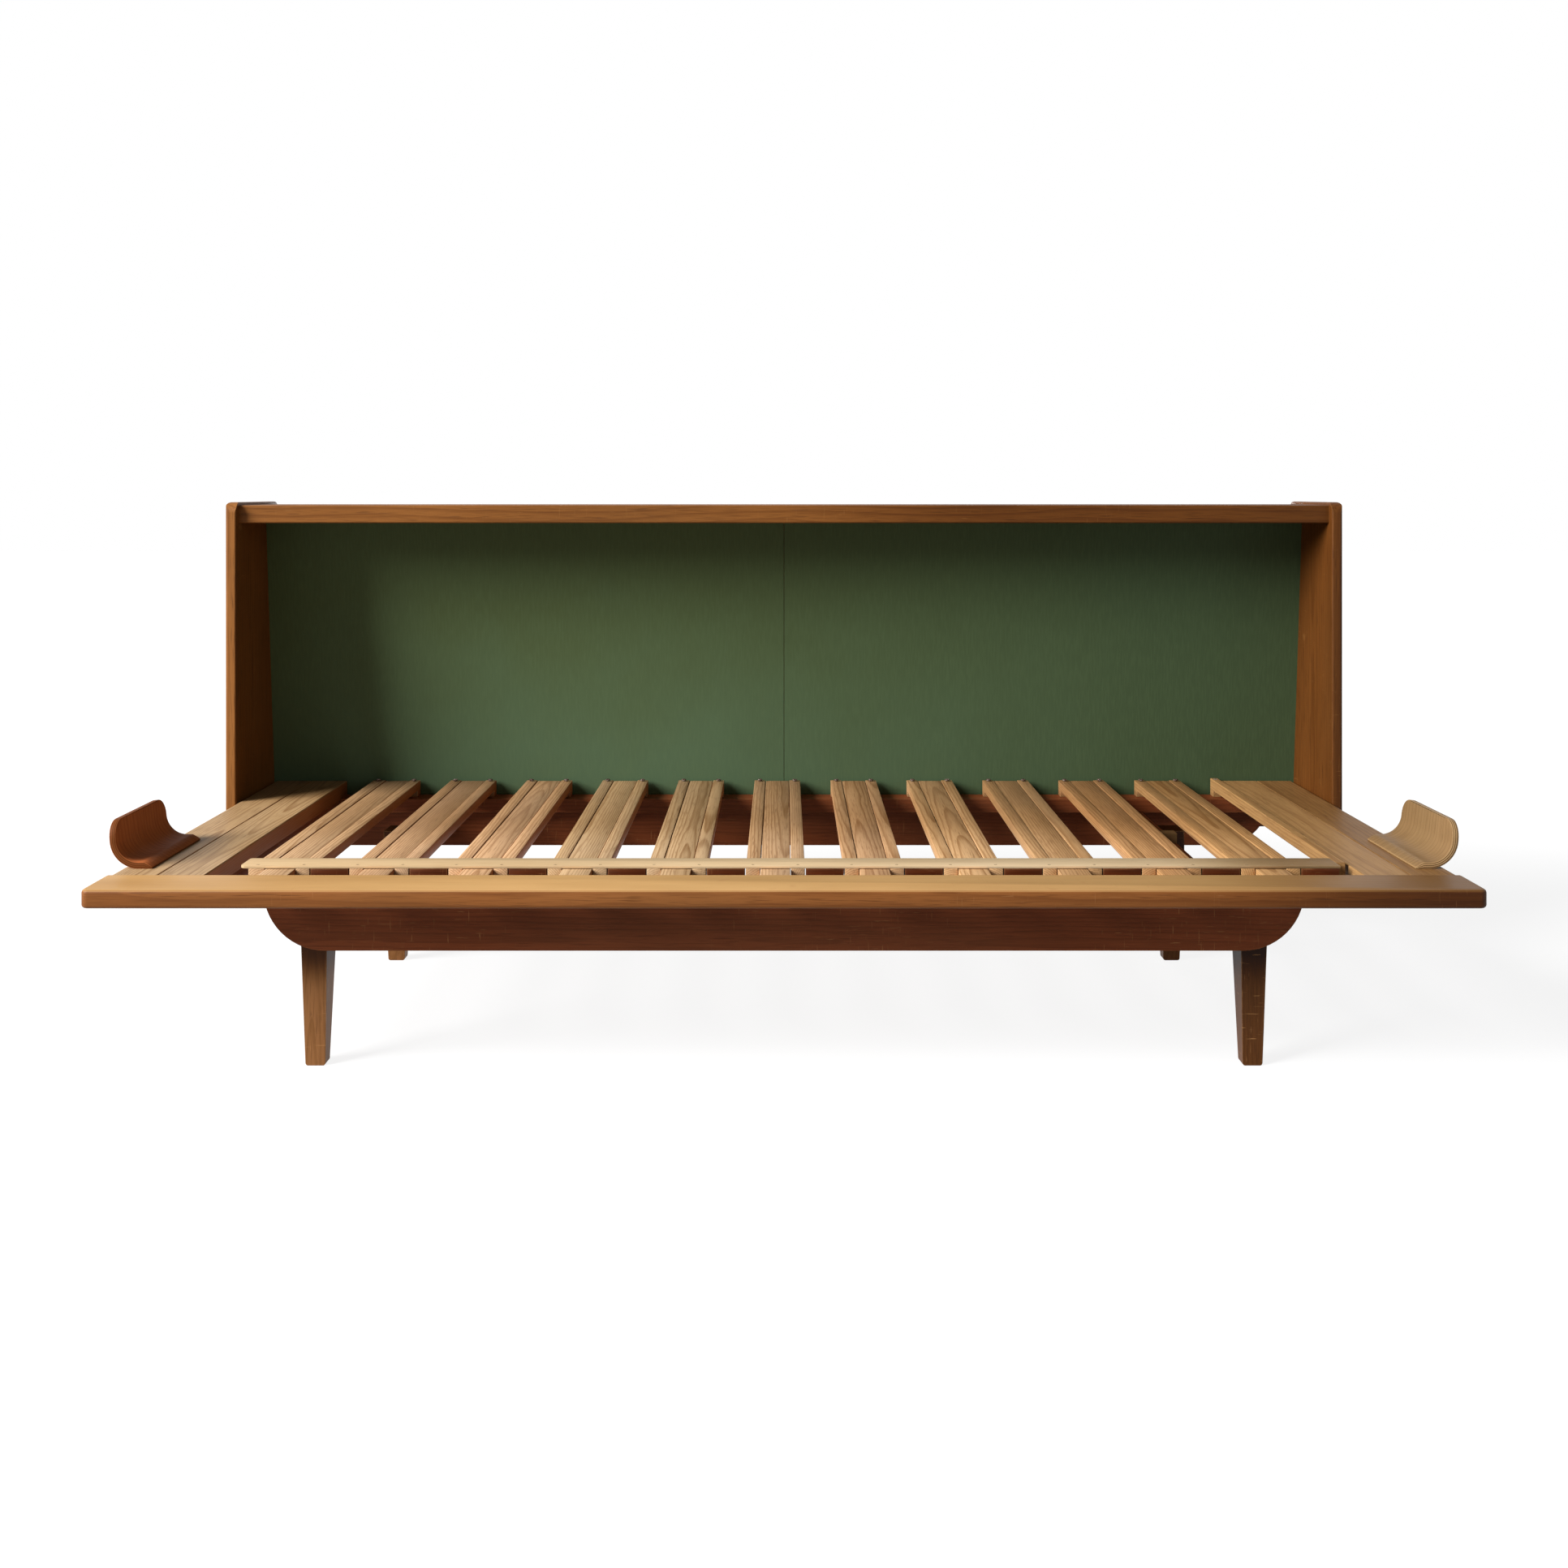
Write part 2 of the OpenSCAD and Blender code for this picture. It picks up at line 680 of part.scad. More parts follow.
module rear_tie_rail() color(brown_oak) placed() difference() {
  block([tie_inset - deck_end, tie_front, tie_under], [deck_end - tie_inset, tie_rear, deck_under]);
  tie_screw_set(hole_fit);
}

module tie_screw_set(grow = 0, x0 = -deck_len, x1 = deck_len) {
  for (x = tie_screw_x) if (x > x0 && x < x1)
    screw_up(x, tie_screw_y, tie_under, tie_h + screw_bite, grow);
}

module tie_screws() color(steel) placed() tie_screw_set();

// Mattress stops

// Points of an arc round the origin, from angle a0 to angle a1
function arc_points(r, a0, a1, steps) = [
  for (k = [0:steps]) r * [cos(a0 + (a1 - a0) * k / steps), sin(a0 + (a1 - a0) * k / steps)]
];

// Section of a stop, drawn from the middle of its bend, which lies above the deck
module stop_section() {
  in_r = stop_bend_r - stop_t;
  bend_end = stop_bend_angle - 90;
  upright = (stop_h - stop_bend_r * (1 + sin(bend_end))) / cos(bend_end) + stop_t;
  upright_way = upright * [-sin(bend_end), cos(bend_end)];
  polygon(concat(
    [[-stop_foot_len, -stop_bend_r]],
    arc_points(stop_bend_r, -90, bend_end, 16),
    [for (r = [stop_bend_r, in_r]) r * [cos(bend_end), sin(bend_end)] + upright_way],
    arc_points(in_r, bend_end, -90, 16),
    [[stop_taper_len - stop_foot_len, -in_r], [-stop_foot_len, stop_tip_t - stop_bend_r]]
  ));
}

module mattress_stop(side) color(brown_oak) placed() difference() {
  on_side(side) intersection() {
    translate([deck_end - stop_bend_inset, 0, deck_top + stop_bend_r])
      along_y(stop_setback, stop_setback + stop_len) stop_section();
    along_x(0, deck_len) translate([stop_setback, deck_top])
      outline(stop_len, stop_h, [0, 0, stop_corner_r, stop_corner_r]);
  }
  stop_screw_set(hole_fit);
}

// Screws from below, through the outer board into the flat foot of the stop
module stop_screw_set(grow = 0) {
  foot_x = deck_end - stop_bend_inset - stop_foot_len / 3;
  y0 = stop_setback + stop_screw_edge;
  y1 = stop_setback + stop_len - stop_screw_edge;
  for (side = [-1, 1], y = spread(y0, y1, 3))
    screw_up(side * foot_x, y, deck_under, deck_t + stop_screw_bite, grow);
}

module stop_screws() color(steel) placed() stop_screw_set();

// Nodes

front_base_rail();
rear_base_rail();
cross_rail(-1);  // left_cross_rail
cross_rail(1);  // right_cross_rail
leg(-1, false);  // leg_front_left
leg(1, false);  // leg_front_right
leg(-1, true);  // leg_rear_left
leg(1, true);  // leg_rear_right
leg_screws();
base_dowels();
travel_block(-1);  // left_travel_block
travel_block(1);  // right_travel_block
side_panel(-1);  // left_side_panel
side_panel(1);  // right_side_panel
top_board();
case_bottom_rail();
back_panel(-1);  // left_back_panel
back_panel(1);  // right_back_panel
back_stile();
case_dowels();
case_screws();
for (i = SLATS) narrow_slats(i);
end_narrow_slat();
cross_batten();
batten_screws();
slat_screws();
front_rail();
outer_board(-1);  // left_outer_board
outer_board(1);  // right_outer_board
inner_board(-1);  // left_inner_board
inner_board(1);  // right_inner_board
for (i = SLATS) wide_slat(i);
rear_tie_rail();
tie_screws();
mattress_stop(-1);  // left_mattress_stop
mattress_stop(1);  // right_mattress_stop
stop_screws();
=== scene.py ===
"""Oiled-oak sofa bed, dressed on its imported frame.

A slatted deck pulls out from under an open back case. The frame gives every place and size, in
metres. This script gives each piece its finish, builds fuller meshes for the slats, batten, front
rail, mattress stops and screws, adds dark packers and a bearer, and lights the whole. Fields of
its classes are in millimetres, those of fades and of the studio in metres.
"""

import logging
import random
from dataclasses import dataclass, replace
from enum import Enum
from functools import partial
from math import asin, cos, degrees, inf, pi, radians, sin
from typing import Any, Callable, Sequence

import bmesh
import bpy
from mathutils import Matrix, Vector


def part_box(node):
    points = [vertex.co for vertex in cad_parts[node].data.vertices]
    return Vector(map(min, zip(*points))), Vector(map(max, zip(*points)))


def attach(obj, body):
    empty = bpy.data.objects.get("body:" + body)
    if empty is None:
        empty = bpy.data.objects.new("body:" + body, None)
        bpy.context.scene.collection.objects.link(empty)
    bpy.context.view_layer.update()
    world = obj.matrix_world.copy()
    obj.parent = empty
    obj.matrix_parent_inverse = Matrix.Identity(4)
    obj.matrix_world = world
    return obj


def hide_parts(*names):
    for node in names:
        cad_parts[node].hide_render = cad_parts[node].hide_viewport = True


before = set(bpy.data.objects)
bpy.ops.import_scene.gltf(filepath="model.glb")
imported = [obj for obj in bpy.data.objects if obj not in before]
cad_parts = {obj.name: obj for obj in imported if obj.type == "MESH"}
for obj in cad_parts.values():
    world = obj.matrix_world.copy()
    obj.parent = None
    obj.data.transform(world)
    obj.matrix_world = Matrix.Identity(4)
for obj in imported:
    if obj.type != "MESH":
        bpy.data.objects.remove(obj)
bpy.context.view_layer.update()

LOG = logging.getLogger("sofa_bed")
MM = 0.001

Add = Callable[..., Any]
Body = bmesh.types.BMesh
Box = tuple[Vector, Vector]
Material = bpy.types.Material
Object = bpy.types.Object
Pair = tuple[float, float]
Triple = tuple[float, float, float]

BASE = "base_and_case"
DECK = "deck"
SIDES = ("left", "right")
TAGS = [f"{number:02d}" for number in range(1, 12)]
UP = Vector((0, 0, 1))
# Edges that turn by more than this are eased
SHARP_TURN = radians(30)
# Faces under this size, in square metres, are smooth, up to the turn of a crease
SMALL_FACE, CREASE = 0.0003, radians(40)

# Kinds of node, with the operation after a colon
PLUS = "ShaderNodeMath:ADD"
TIMES = "ShaderNodeMath:MULTIPLY"
TIMES_PLUS = "ShaderNodeMath:MULTIPLY_ADD"
GREATER = "ShaderNodeMath:MAXIMUM"
POWER = "ShaderNodeMath:POWER"
FRACTION = "ShaderNodeMath:FRACT"
MOVED = "ShaderNodeVectorMath:ADD"
FROM = "ShaderNodeVectorMath:SUBTRACT"
SCALED = "ShaderNodeVectorMath:MULTIPLY"
LENGTH = "ShaderNodeVectorMath:LENGTH"
JOIN = "ShaderNodeCombineXYZ"
SPLIT = "ShaderNodeSeparateXYZ"
# Its inputs are the place, an unused fourth axis, the scale and the detail
NOISE = "ShaderNodeTexNoise"
SPAN = "ShaderNodeMapRange"
BLEND = "ShaderNodeMix"
COLOURS = {"out": 2, "data_type": "RGBA"}
SMOOTH = {"interpolation_type": "SMOOTHSTEP"}


# ---- Nodes and colours


def linear(hex_colour: str) -> tuple[float, ...]:
    """Turns an sRGB colour into linear values.

    Args:
        hex_colour: its six hex digits.

    Returns:
        Linear red, green and blue, and an alpha of 1.
    """
    parts = [int(hex_colour[i:i + 2], 16) / 255 for i in (0, 2, 4)]
    return (*[c / 12.92 if c <= 0.04045 else ((c + 0.055) / 1.055) ** 2.4 for c in parts], 1.0)


def add_node(tree: bpy.types.NodeTree, kind: str, *values: Any,
             named: dict[Any, Any] | None = None, out: Any = 0, **settings: Any) -> Any:
    """Adds one node, and fills its inputs with values or links.

    Args:
        tree: the node tree.
        kind: the node's type, and after a colon its operation.
        *values: values or feeding sockets of the first inputs.
        named: the same for inputs by name or number.
        out: the output to return, or None for the node.
        **settings: properties of the node.

    Returns:
        The output socket, or the node.
    """
    kind, _, operation = kind.partition(":")
    node = tree.nodes.new(kind)
    if operation:
        node.operation = operation
    for name, value in settings.items():
        setattr(node, name, value)
    for key, value in [*enumerate(values), *(named or {}).items()]:
        if isinstance(value, bpy.types.NodeSocket):
            tree.links.new(value, node.inputs[key])
        else:
            node.inputs[key].default_value = value
    return node if out is None else node.outputs[out]


def new_material(name: str) -> tuple[Material, Add]:
    """Makes an empty node material.

    Args:
        name: the material's name.

    Returns:
        The material, and add_node for its tree.
    """
    material = bpy.data.materials.new(name)
    material.use_nodes = True
    material.node_tree.nodes.clear()
    return material, partial(add_node, material.node_tree)


def laid(add: Add, colour: Any, layers: Sequence[tuple[Any, str]]) -> Any:
    """Lays colours over one another.

    Args:
        add: the tree's add_node.
        colour: the colour at the bottom.
        layers: how much of each next colour shows, and its digits.

    Returns:
        The colour that is seen.
    """
    for share, over in layers:
        colour = add(BLEND, named={0: share, 6: colour, 7: linear(over)}, **COLOURS)
    return colour


# ---- Finishes


class Grain(Enum):
    """The way a board's fibres run: the two axes across it, then the axis along it."""

    ALONG_X = ("Y", "Z", "X")
    ALONG_Y = ("X", "Z", "Y")
    ALONG_Z = ("X", "Y", "Z")


class Source(Enum):
    """Where a wood pattern's coordinates come from."""

    PIECE = "the middle of one piece"
    ROW = "the middle of each board in a row"
    SHEET = "the unrolled sheet of a bent piece"


@dataclass(frozen=True)
class Fade:
    """A slow change of tone along or across the grain, placed from the middle."""

    start: float
    end: float
    first: float
    last: float
    across: bool = False


@dataclass(frozen=True)
class Wood:
    """Planed wood under thin oil.

    Year rings give arches and stripes, fibres a fine streak along the board, and open pores short
    dark dashes. Fibres and pores are 0.1 to 0.3 mm wide, too fine for the picture, and are drawn
    about 2 mm wide. Colours are for early wood, late wood, pores, rubbed edges and grey patches of
    painted sheen, and where given, for upper faces under painted light from above, right-facing
    faces under painted shade, and plies. Shares say how much of a colour shows.
    """

    name: str
    light: str
    dark: str
    pore: str
    worn: str
    grey: str
    ring_mm: float = 6.0
    ring_share: float = 0.5
    fibre_mm: float = 2.2
    pore_mm: float = 1.8
    pore_share: float = 0.55
    sheen_share: float = 0.25
    blotch: float = 0.12
    wear: float = 0.5
    scratches: float = 0.0
    top_light: str = ""
    right_shade: str = ""
    plies: tuple[str, str] = ("", "")
    edge_mm: float = 3.0
    roughness: float = 0.5
    specular: float = 0.1

    def build(self, label: str, grain: Grain, seed: int, tone: float = 1.0,
              source: Source = Source.PIECE, middle: Vector = Vector(),
              fades: Sequence[Fade] = ()) -> Material:
        """Builds the material for one piece or one row of boards.

        Args:
            label: the piece's name.
            grain: the way the fibres run.
            seed: fixes its part of the log.
            tone: how light it is against the finish's own colours.
            source: where the coordinates come from.
            middle: the piece's middle, or that of a board in a row, where its rings start.
            fades: how its tone changes.

        Returns:
            The material.
        """
        material, add = new_material(f"{self.name}_{label}")
        local, far, pith = self._place(add, source, middle, random.Random(seed))
        shifted = add(MOVED, local, far)
        parts, moved = (add(SPLIT, place, out=None).outputs for place in (local, shifted))
        across, deep, along = [parts[axis] for axis in grain.value]
        beside, under, onward = [moved[axis] for axis in grain.value]
        # Fibres are 40 times as long as wide, clouds and wobbles 5 times
        streak_at, drift_at = (
            add(JOIN, beside, under, add(TIMES, onward, squeeze)) for squeeze in (0.025, 0.2))

        year = self._years(add, (across, deep, along), pith, drift_at)
        late = add(TIMES, add(SPAN, year, 0.4, 0.9, **SMOOTH), add(SPAN, year, 1.0, 0.93))
        fibre = add(NOISE, streak_at, 0.0, 1 / (self.fibre_mm * MM), 3.0)
        dash_at = add(SCALED, streak_at, (1.0, 1.0, 1.7))
        dash = add(NOISE, dash_at, 0.0, 1 / (self.pore_mm * MM), 1.0)
        pore = add(TIMES, add(SPAN, dash, 0.54, 0.70), add(SPAN, year, 0.7, 0.05, 0.3, 1.0))
        cloud = add(NOISE, drift_at, 0.0, 13.0, 3.0)
        haze = add(NOISE, add(SCALED, drift_at, (0.6, 0.6, 1.1)), 0.0, 9.0, 2.0)

        body = add(TIMES_PLUS, late, self.ring_share, add(SPAN, fibre, 0.3, 0.7, -0.22, 0.22))
        # Grey patches are painted sheen: the sky's reflection in the oil
        grey_sheen = add(SPAN, haze, 0.48, 0.68, 0.0, self.sheen_share)
        dark_pore = add(TIMES, pore, self.pore_share)
        layers = [(body, self.dark), (grey_sheen, self.grey), (dark_pore, self.pore)]
        flat = add("ShaderNodeNewGeometry", out="True Normal")
        facing = add(SPLIT, flat, out=None).outputs
        # Painted light from above on upward faces, and painted shade on right-facing faces
        for painted_colour, towards, most in ((self.top_light, facing["Z"], 0.6),
                                     (self.right_shade, facing["X"], 0.85)):
            if painted_colour:
                layers.append((add(SPAN, towards, 0.5, 0.9, 0.0, most), painted_colour))
        colour = laid(add, linear(self.light), layers)

        shade = add(SPAN, cloud, 0.28, 0.72, tone * (1 - self.blotch), tone * (1 + self.blotch))
        for fade in fades:
            slow = add(SPAN, across if fade.across else along, fade.start, fade.end,
                       fade.first, fade.last, **SMOOTH)
            shade = add(TIMES, shade, slow)
        # Oiled wood grows redder as it grows darker
        redder = add(JOIN, shade, add(POWER, shade, 1.2), add(POWER, shade, 1.5))
        colour = add(SCALED, colour, redder)
        if source is Source.ROW:
            tint = add("ShaderNodeAttribute", out="Vector", attribute_name="tint")
            colour = add(SCALED, colour, tint)

        wide = add("ShaderNodeBevel", self.edge_mm * MM, samples=4)
        match = add("ShaderNodeVectorMath:DOT_PRODUCT", wide, flat, out="Value")
        patchy = add(NOISE, shifted, 0.0, 30.0, 3.0)
        rubbed = add(TIMES, add(SPAN, match, 0.99, 0.86, 0.0, self.wear),
                     add(SPAN, patchy, 0.35, 0.6, 0.15, 1.0))
        layers = [(rubbed, self.worn)]
        if self.scratches:
            layers.append((self._scratches(add, shifted), self.worn))
        colour = laid(add, colour, layers)
        if source is Source.SHEET:
            # The rim shows the light and dark edges of seven plies
            light, dark = self.plies
            depth = add("ShaderNodeAttribute", out="Fac", attribute_name="ply")
            band = add(FRACTION, add(TIMES, depth, 3.5))
            rim = add(TIMES, add(SPAN, depth, 0.02, 0.10), add(SPAN, depth, 0.98, 0.90))
            edge = laid(add, linear(light), [(add(SPAN, band, 0.45, 0.55), dark)])
            colour = add(BLEND, named={0: rim, 6: colour, 7: edge}, **COLOURS)

        rough = add(SPAN, add(TIMES_PLUS, fibre, 0.4, rubbed), 0.1, 0.8,
                    self.roughness - 0.06, self.roughness + 0.14)
        height = add(TIMES_PLUS, fibre, 0.4, add(TIMES, pore, -1.0))
        eased = add("ShaderNodeBevel", 1.0 * MM, samples=4)
        bump = add("ShaderNodeBump", named={
            "Height": height, "Distance": 0.15 * MM, "Strength": 0.8, "Normal": eased})
        shader = add("ShaderNodeBsdfPrincipled", colour, named={
            "Roughness": rough, "Normal": bump, "IOR": 1.5, "Specular IOR Level": self.specular})
        add("ShaderNodeOutputMaterial", shader, out=None)
        return material

    def _place(self, add: Add, source: Source, middle: Vector,
               draw: random.Random) -> tuple[Any, Any, Sequence[Any]]:
        """Gives the pattern its coordinates.

        Args:
            add: the tree's add_node.
            source: where the coordinates come from.
            middle: the piece's middle.
            draw: random numbers of this piece.

        Returns:
            The coordinates, the way to the piece's part of the log, and the pith's place beside
            and below the piece and its lean.
        """
        far, spread, least = (17.0, 13.0, 19.0), (0.10, 0.03, 0.03), (-0.05, 0.015, -0.015)
        start = add("ShaderNodeTexCoord", out="Object")
        if source is Source.ROW:
            own, centre = (add("ShaderNodeAttribute", out="Vector", attribute_name=name)
                           for name in ("board", "centre"))
            pith = add("ShaderNodeVectorMath:MULTIPLY_ADD", own, spread, least)
            return (add(FROM, add(FROM, start, centre), tuple(middle)), add(SCALED, own, far),
                    add(SPLIT, pith, out=None).outputs)
        drawn = (draw.random(), draw.random(), draw.random())
        pith = [number * width + low for number, width, low in zip(drawn, spread, least)]
        away = tuple(number * reach for number, reach in zip(drawn, far))
        if source is Source.SHEET:
            flat = add(SPLIT, add("ShaderNodeUVMap", uv_map="sheet"), out=None).outputs
            return add(JOIN, flat["X"], 0.0, flat["Y"]), away, pith
        return add(FROM, start, tuple(middle)), away, pith

    def _years(self, add: Add, place: Sequence[Any], pith: Sequence[Any], drift_at: Any) -> Any:
        """Draws year rings round a pith beside the board.

        Args:
            add: the tree's add_node.
            place: the coordinates across the board, through it and along it.
            pith: the pith's place beside and below the board, and its lean.
            drift_at: the coordinates of the rings' slow wobble.

        Returns:
            The part of a year's growth.
        """
        across, deep, along = place
        heart = add(TIMES_PLUS, along, pith[2], add(PLUS, deep, pith[1]))
        radius = add(LENGTH, add(JOIN, add(PLUS, across, pith[0]), heart), out="Value")
        wobble = add(NOISE, drift_at, 0.0, 8.0, 3.0)
        bent = add(TIMES_PLUS, wobble, 4.0 * self.ring_mm * MM, radius)
        return add(FRACTION, add("ShaderNodeMath:DIVIDE", bent, self.ring_mm * MM))

    def _scratches(self, add: Add, place: Any) -> Any:
        """Draws scratches about 1 mm wide and 30 mm long, in two directions.

        Args:
            add: the tree's add_node.
            place: the coordinates.

        Returns:
            How much of a scratch shows.
        """
        lines = []
        for turn, stretch in ((0.5, (1.0, 1.0, 16.0)), (-0.8, (16.0, 1.0, 1.0))):
            turned = add("ShaderNodeMapping", place, named={
                "Rotation": (0.2, turn, 0.1), "Scale": stretch})
            line = add(NOISE, turned, 0.0, 34.0, 1.0)
            lines.append(add(SPAN, line, 0.70, 0.77, 0.0, self.scratches))
        fields = add(SPAN, add(NOISE, place, 0.0, 5.0), 0.45, 0.62)
        return add(TIMES, add(GREATER, *lines), fields)


@dataclass(frozen=True)
class Paint:
    """Oil paint brushed on plywood: an even colour with a faint skin and a dull sheen.

    The paint is a little bluer low down. It is painted more olive and darker high up, as painted
    shade under the top board, and darker towards the right, as painted shade where the light falls
    off.
    """

    name: str
    low: str
    high: str
    right: str
    worn: str
    roughness: float = 0.55

    def build(self, label: str) -> Material:
        """Builds the material, with upright brush marks 3 mm apart and slow clouds.

        Args:
            label: the piece's name.

        Returns:
            The material.
        """
        material, add = new_material(f"{self.name}_{label}")
        place = add("ShaderNodeTexCoord", out="Object")
        parts = add(SPLIT, place, out=None).outputs
        drift = add(SPAN, add(NOISE, place, 0.0, 5.0, 3.0), 0.3, 0.7, -0.06, 0.06)
        stroke = add(NOISE, add(SCALED, place, (1.0, 1.0, 0.05)), 0.0, 1 / (3 * MM), 2.0)
        skin = add(NOISE, place, 0.0, 1 / (2 * MM), 2.0)
        # Painted shade: more olive and darker high up under the top board, and darker towards the
        # right
        colour = laid(add, linear(self.low), (
            (add(SPAN, add(PLUS, parts["Z"], drift), 0.34, 0.66), self.high),
            (add(SPAN, add(PLUS, parts["X"], drift), -0.2, 0.75), self.right),
            (add(SPAN, stroke, 0.4, 0.75, 0.0, 0.12), self.worn)))
        rough = add(SPAN, skin, 0.3, 0.7, self.roughness - 0.05, self.roughness + 0.08)
        bump = add("ShaderNodeBump", named={
            "Height": add(PLUS, stroke, skin), "Distance": 0.08 * MM, "Strength": 0.6})
        shader = add("ShaderNodeBsdfPrincipled", colour, named={
            "Roughness": rough, "Normal": bump, "IOR": 1.5, "Specular IOR Level": 0.1})
        add("ShaderNodeOutputMaterial", shader, out=None)
        return material


@dataclass(frozen=True)
class Iron:
    """Turned steel gone brown: dull metal under patches of oxide about 2 mm across."""

    name: str
    metal: str
    oxide: str

    def build(self, label: str) -> Material:
        """Builds the material.

        Args:
            label: the piece's name.

        Returns:
            The material.
        """
        material, add = new_material(f"{self.name}_{label}")
        place = add("ShaderNodeTexCoord", out="Object")
        spots = add(NOISE, place, 0.0, 1 / (2 * MM), 3.0)
        colour = laid(add, linear(self.metal), [(add(SPAN, spots, 0.38, 0.56), self.oxide)])
        bump = add("ShaderNodeBump", named={
            "Height": spots, "Distance": 0.08 * MM, "Strength": 0.6})
        shader = add("ShaderNodeBsdfPrincipled", colour, named={
            "Metallic": 0.7, "Roughness": add(SPAN, spots, 0.3, 0.7, 0.4, 0.75), "Normal": bump})
        add("ShaderNodeOutputMaterial", shader, out=None)
        return material


# Oak, planed and oiled: pinkish straw with brown late wood, and grey patches of painted sheen
PALE_OAK = Wood("oiled_oak", "bc9a70", "8a653e", "6d4a2c", "cfb48c", "98836c",
    ring_mm=3.0, ring_share=0.75, sheen_share=0.3, wear=0.1, edge_mm=1.5)
# The same oak, with painted shade on its right-facing faces, away from the key lamp
RIGHT_SHADED_OAK = replace(PALE_OAK, name="right_shaded_oak", right_shade="96501c")
# The same oak, yellower and deeper
HONEY_OAK = Wood("honey_oak", "a17a4c", "7a5430", "54351a", "b08c60", "86694c",
    sheen_share=0.12, wear=0.3)
# Oak under dark oil: brown, with upward faces painted straw as painted light from above
RAIL_OAK = Wood("dark_oiled_oak", "8a552b", "683a1a", "4a270f", "a5754a", "70502f",
    top_light="dbb175", roughness=0.46, scratches=0.3, wear=0.3)
# Oak of the case: red brown, nearly walnut
CASE_OAK = Wood("case_oak", "8c5a2c", "653a18", "3f200c", "a27442", "6e4c2c",
    roughness=0.46, scratches=0.3, wear=0.35)
# Stained oak: deep red brown on the base, rubbed lighter along the edges
BROWN_OAK = Wood("stained_oak", "864626", "643217", "3f1e0c", "a87448", "6a4830",
    roughness=0.46, blotch=0.16, scratches=0.7, pore_share=0.45)
# The same stain worn thin on the legs by brooms and shoes
WORN_OAK = Wood("worn_oak", "96643a", "74481f", "4a2c16", "b08050", "7c6044",
    roughness=0.45, blotch=0.2, scratches=0.7, pore_share=0.45)
# Planed beech strip: pale and pinkish, with close grain
PALE_BEECH = Wood("planed_beech", "d4b78e", "c2a078", "a07a50", "e2c9a4", "bca283",
    ring_mm=9.0, ring_share=0.35, pore_share=0.3, wear=0.25, roughness=0.55, blotch=0.08)
# Bent plywood with an oak face: even colour, straight streaks that follow the bend
BENT_PLY = Wood("bent_plywood", "876a48", "6a4e30", "4c361c", "b8966a", "74603f",
    ring_mm=11.0, ring_share=0.4, wear=0.35, blotch=0.07, plies=("b8966a", "6a4e30"))
# The left stop's plywood: the right stop's plywood painted as it looks in shade, red brown, duller
# and with darker plies
SHADED_PLY = Wood("shaded_bent_plywood", "ad6236", "864622", "4a2410", "a87850", "724c2f",
    ring_mm=11.0, ring_share=0.4, wear=0.12, roughness=0.6, blotch=0.1, specular=0.05,
    plies=("744022", "58300f"))
GREEN_PAINT = Paint("green_oil_paint", "4f6348", "495636", "415137", "647a54")
# Screws under the bed are brown with rust, those in the batten dull and nearly its colour
BROWN_IRON = Iron("browned_steel", "8a8078", "4a2c1a")
DULL_IRON = Iron("dull_steel", "9a8468", "8a6c4c")
# Slats are painted paler at the front: painted light that falls off towards the case
SLAT_FRONT_LIGHT = Fade(-0.20, 0.05, 1.3, 0.92)
# The middle of the slats' thickness
SLAT_MIDDLE = Vector((0.0, 0.0, 0.29))
# Both rows of slats draw their tints from it, so that each pair has the tint of its wide slat
TINT_SEED = 71


# ---- Meshes


def rectangle(left: float, right: float, low: float, high: float) -> list[Pair]:
    """Returns the corners of a rectangle."""
    return [(left, low), (right, low), (right, high), (left, high)]


def arc(centre: Sequence[float], radius: float, start: float, end: float,
        steps: int = 6) -> list[Pair]:
    """Returns points of an arc in a plane, with its angles in degrees."""
    angles = [radians(start + (end - start) * k / steps) for k in range(steps + 1)]
    return [(centre[0] + radius * cos(a), centre[1] + radius * sin(a)) for a in angles]


def prism(outline: Sequence[Sequence[float]], run: Vector, ease: float, steps: int = 2,
          back: float = inf) -> Body:
    """Extrudes a flat outline and eases its edges.

    Args:
        outline: the corners of one end.
        run: the way to the other end.
        ease: radius of the eased edges.
        steps: how many faces the radius has.
        back: edges that lie wholly behind this place stay sharp.

    Returns:
        The closed body.
    """
    body = bmesh.new()
    end = body.faces.new([body.verts.new(corner) for corner in outline])
    moved = bmesh.ops.extrude_face_region(body, geom=[end], use_keep_orig=True)["geom"]
    bmesh.ops.translate(
        body, verts=[v for v in moved if isinstance(v, bmesh.types.BMVert)], vec=run)
    bmesh.ops.recalc_face_normals(body, faces=body.faces)
    sharp = [edge for edge in body.edges if edge.calc_face_angle(0.0) > SHARP_TURN
             and min(vertex.co.y for vertex in edge.verts) < back]
    if ease:
        bmesh.ops.bevel(body, geom=sharp, offset=ease, segments=steps, profile=0.5, affect="EDGES")
    return body


def place_object(name: str, data: Any) -> Object:
    """Makes an object in the scene.

    Args:
        name: its name.
        data: its mesh, lamp or camera.

    Returns:
        The object.
    """
    made = bpy.data.objects.new(name, data)
    bpy.context.scene.collection.objects.link(made)
    return made


def new_piece(name: str, body: Body, *materials: Material) -> Object:
    """Turns a body into an object, with small faces smooth and broad ones flat.

    Args:
        name: the object's name.
        body: the body, which is freed.
        *materials: its finish, unless it comes later.

    Returns:
        The object.
    """
    mesh = bpy.data.meshes.new(name)
    bmesh.ops.recalc_face_normals(body, faces=body.faces)
    body.to_mesh(mesh)
    body.free()
    for face in mesh.polygons:
        face.use_smooth = face.area < SMALL_FACE
    mesh.set_sharp_from_angle(angle=CREASE)
    for material in materials:
        mesh.materials.append(material)
    return place_object(name, mesh)


def corners_of(node: str) -> Box:
    """Returns the lowest and highest corner of a CAD node."""
    low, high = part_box(node)
    return Vector(low), Vector(high)


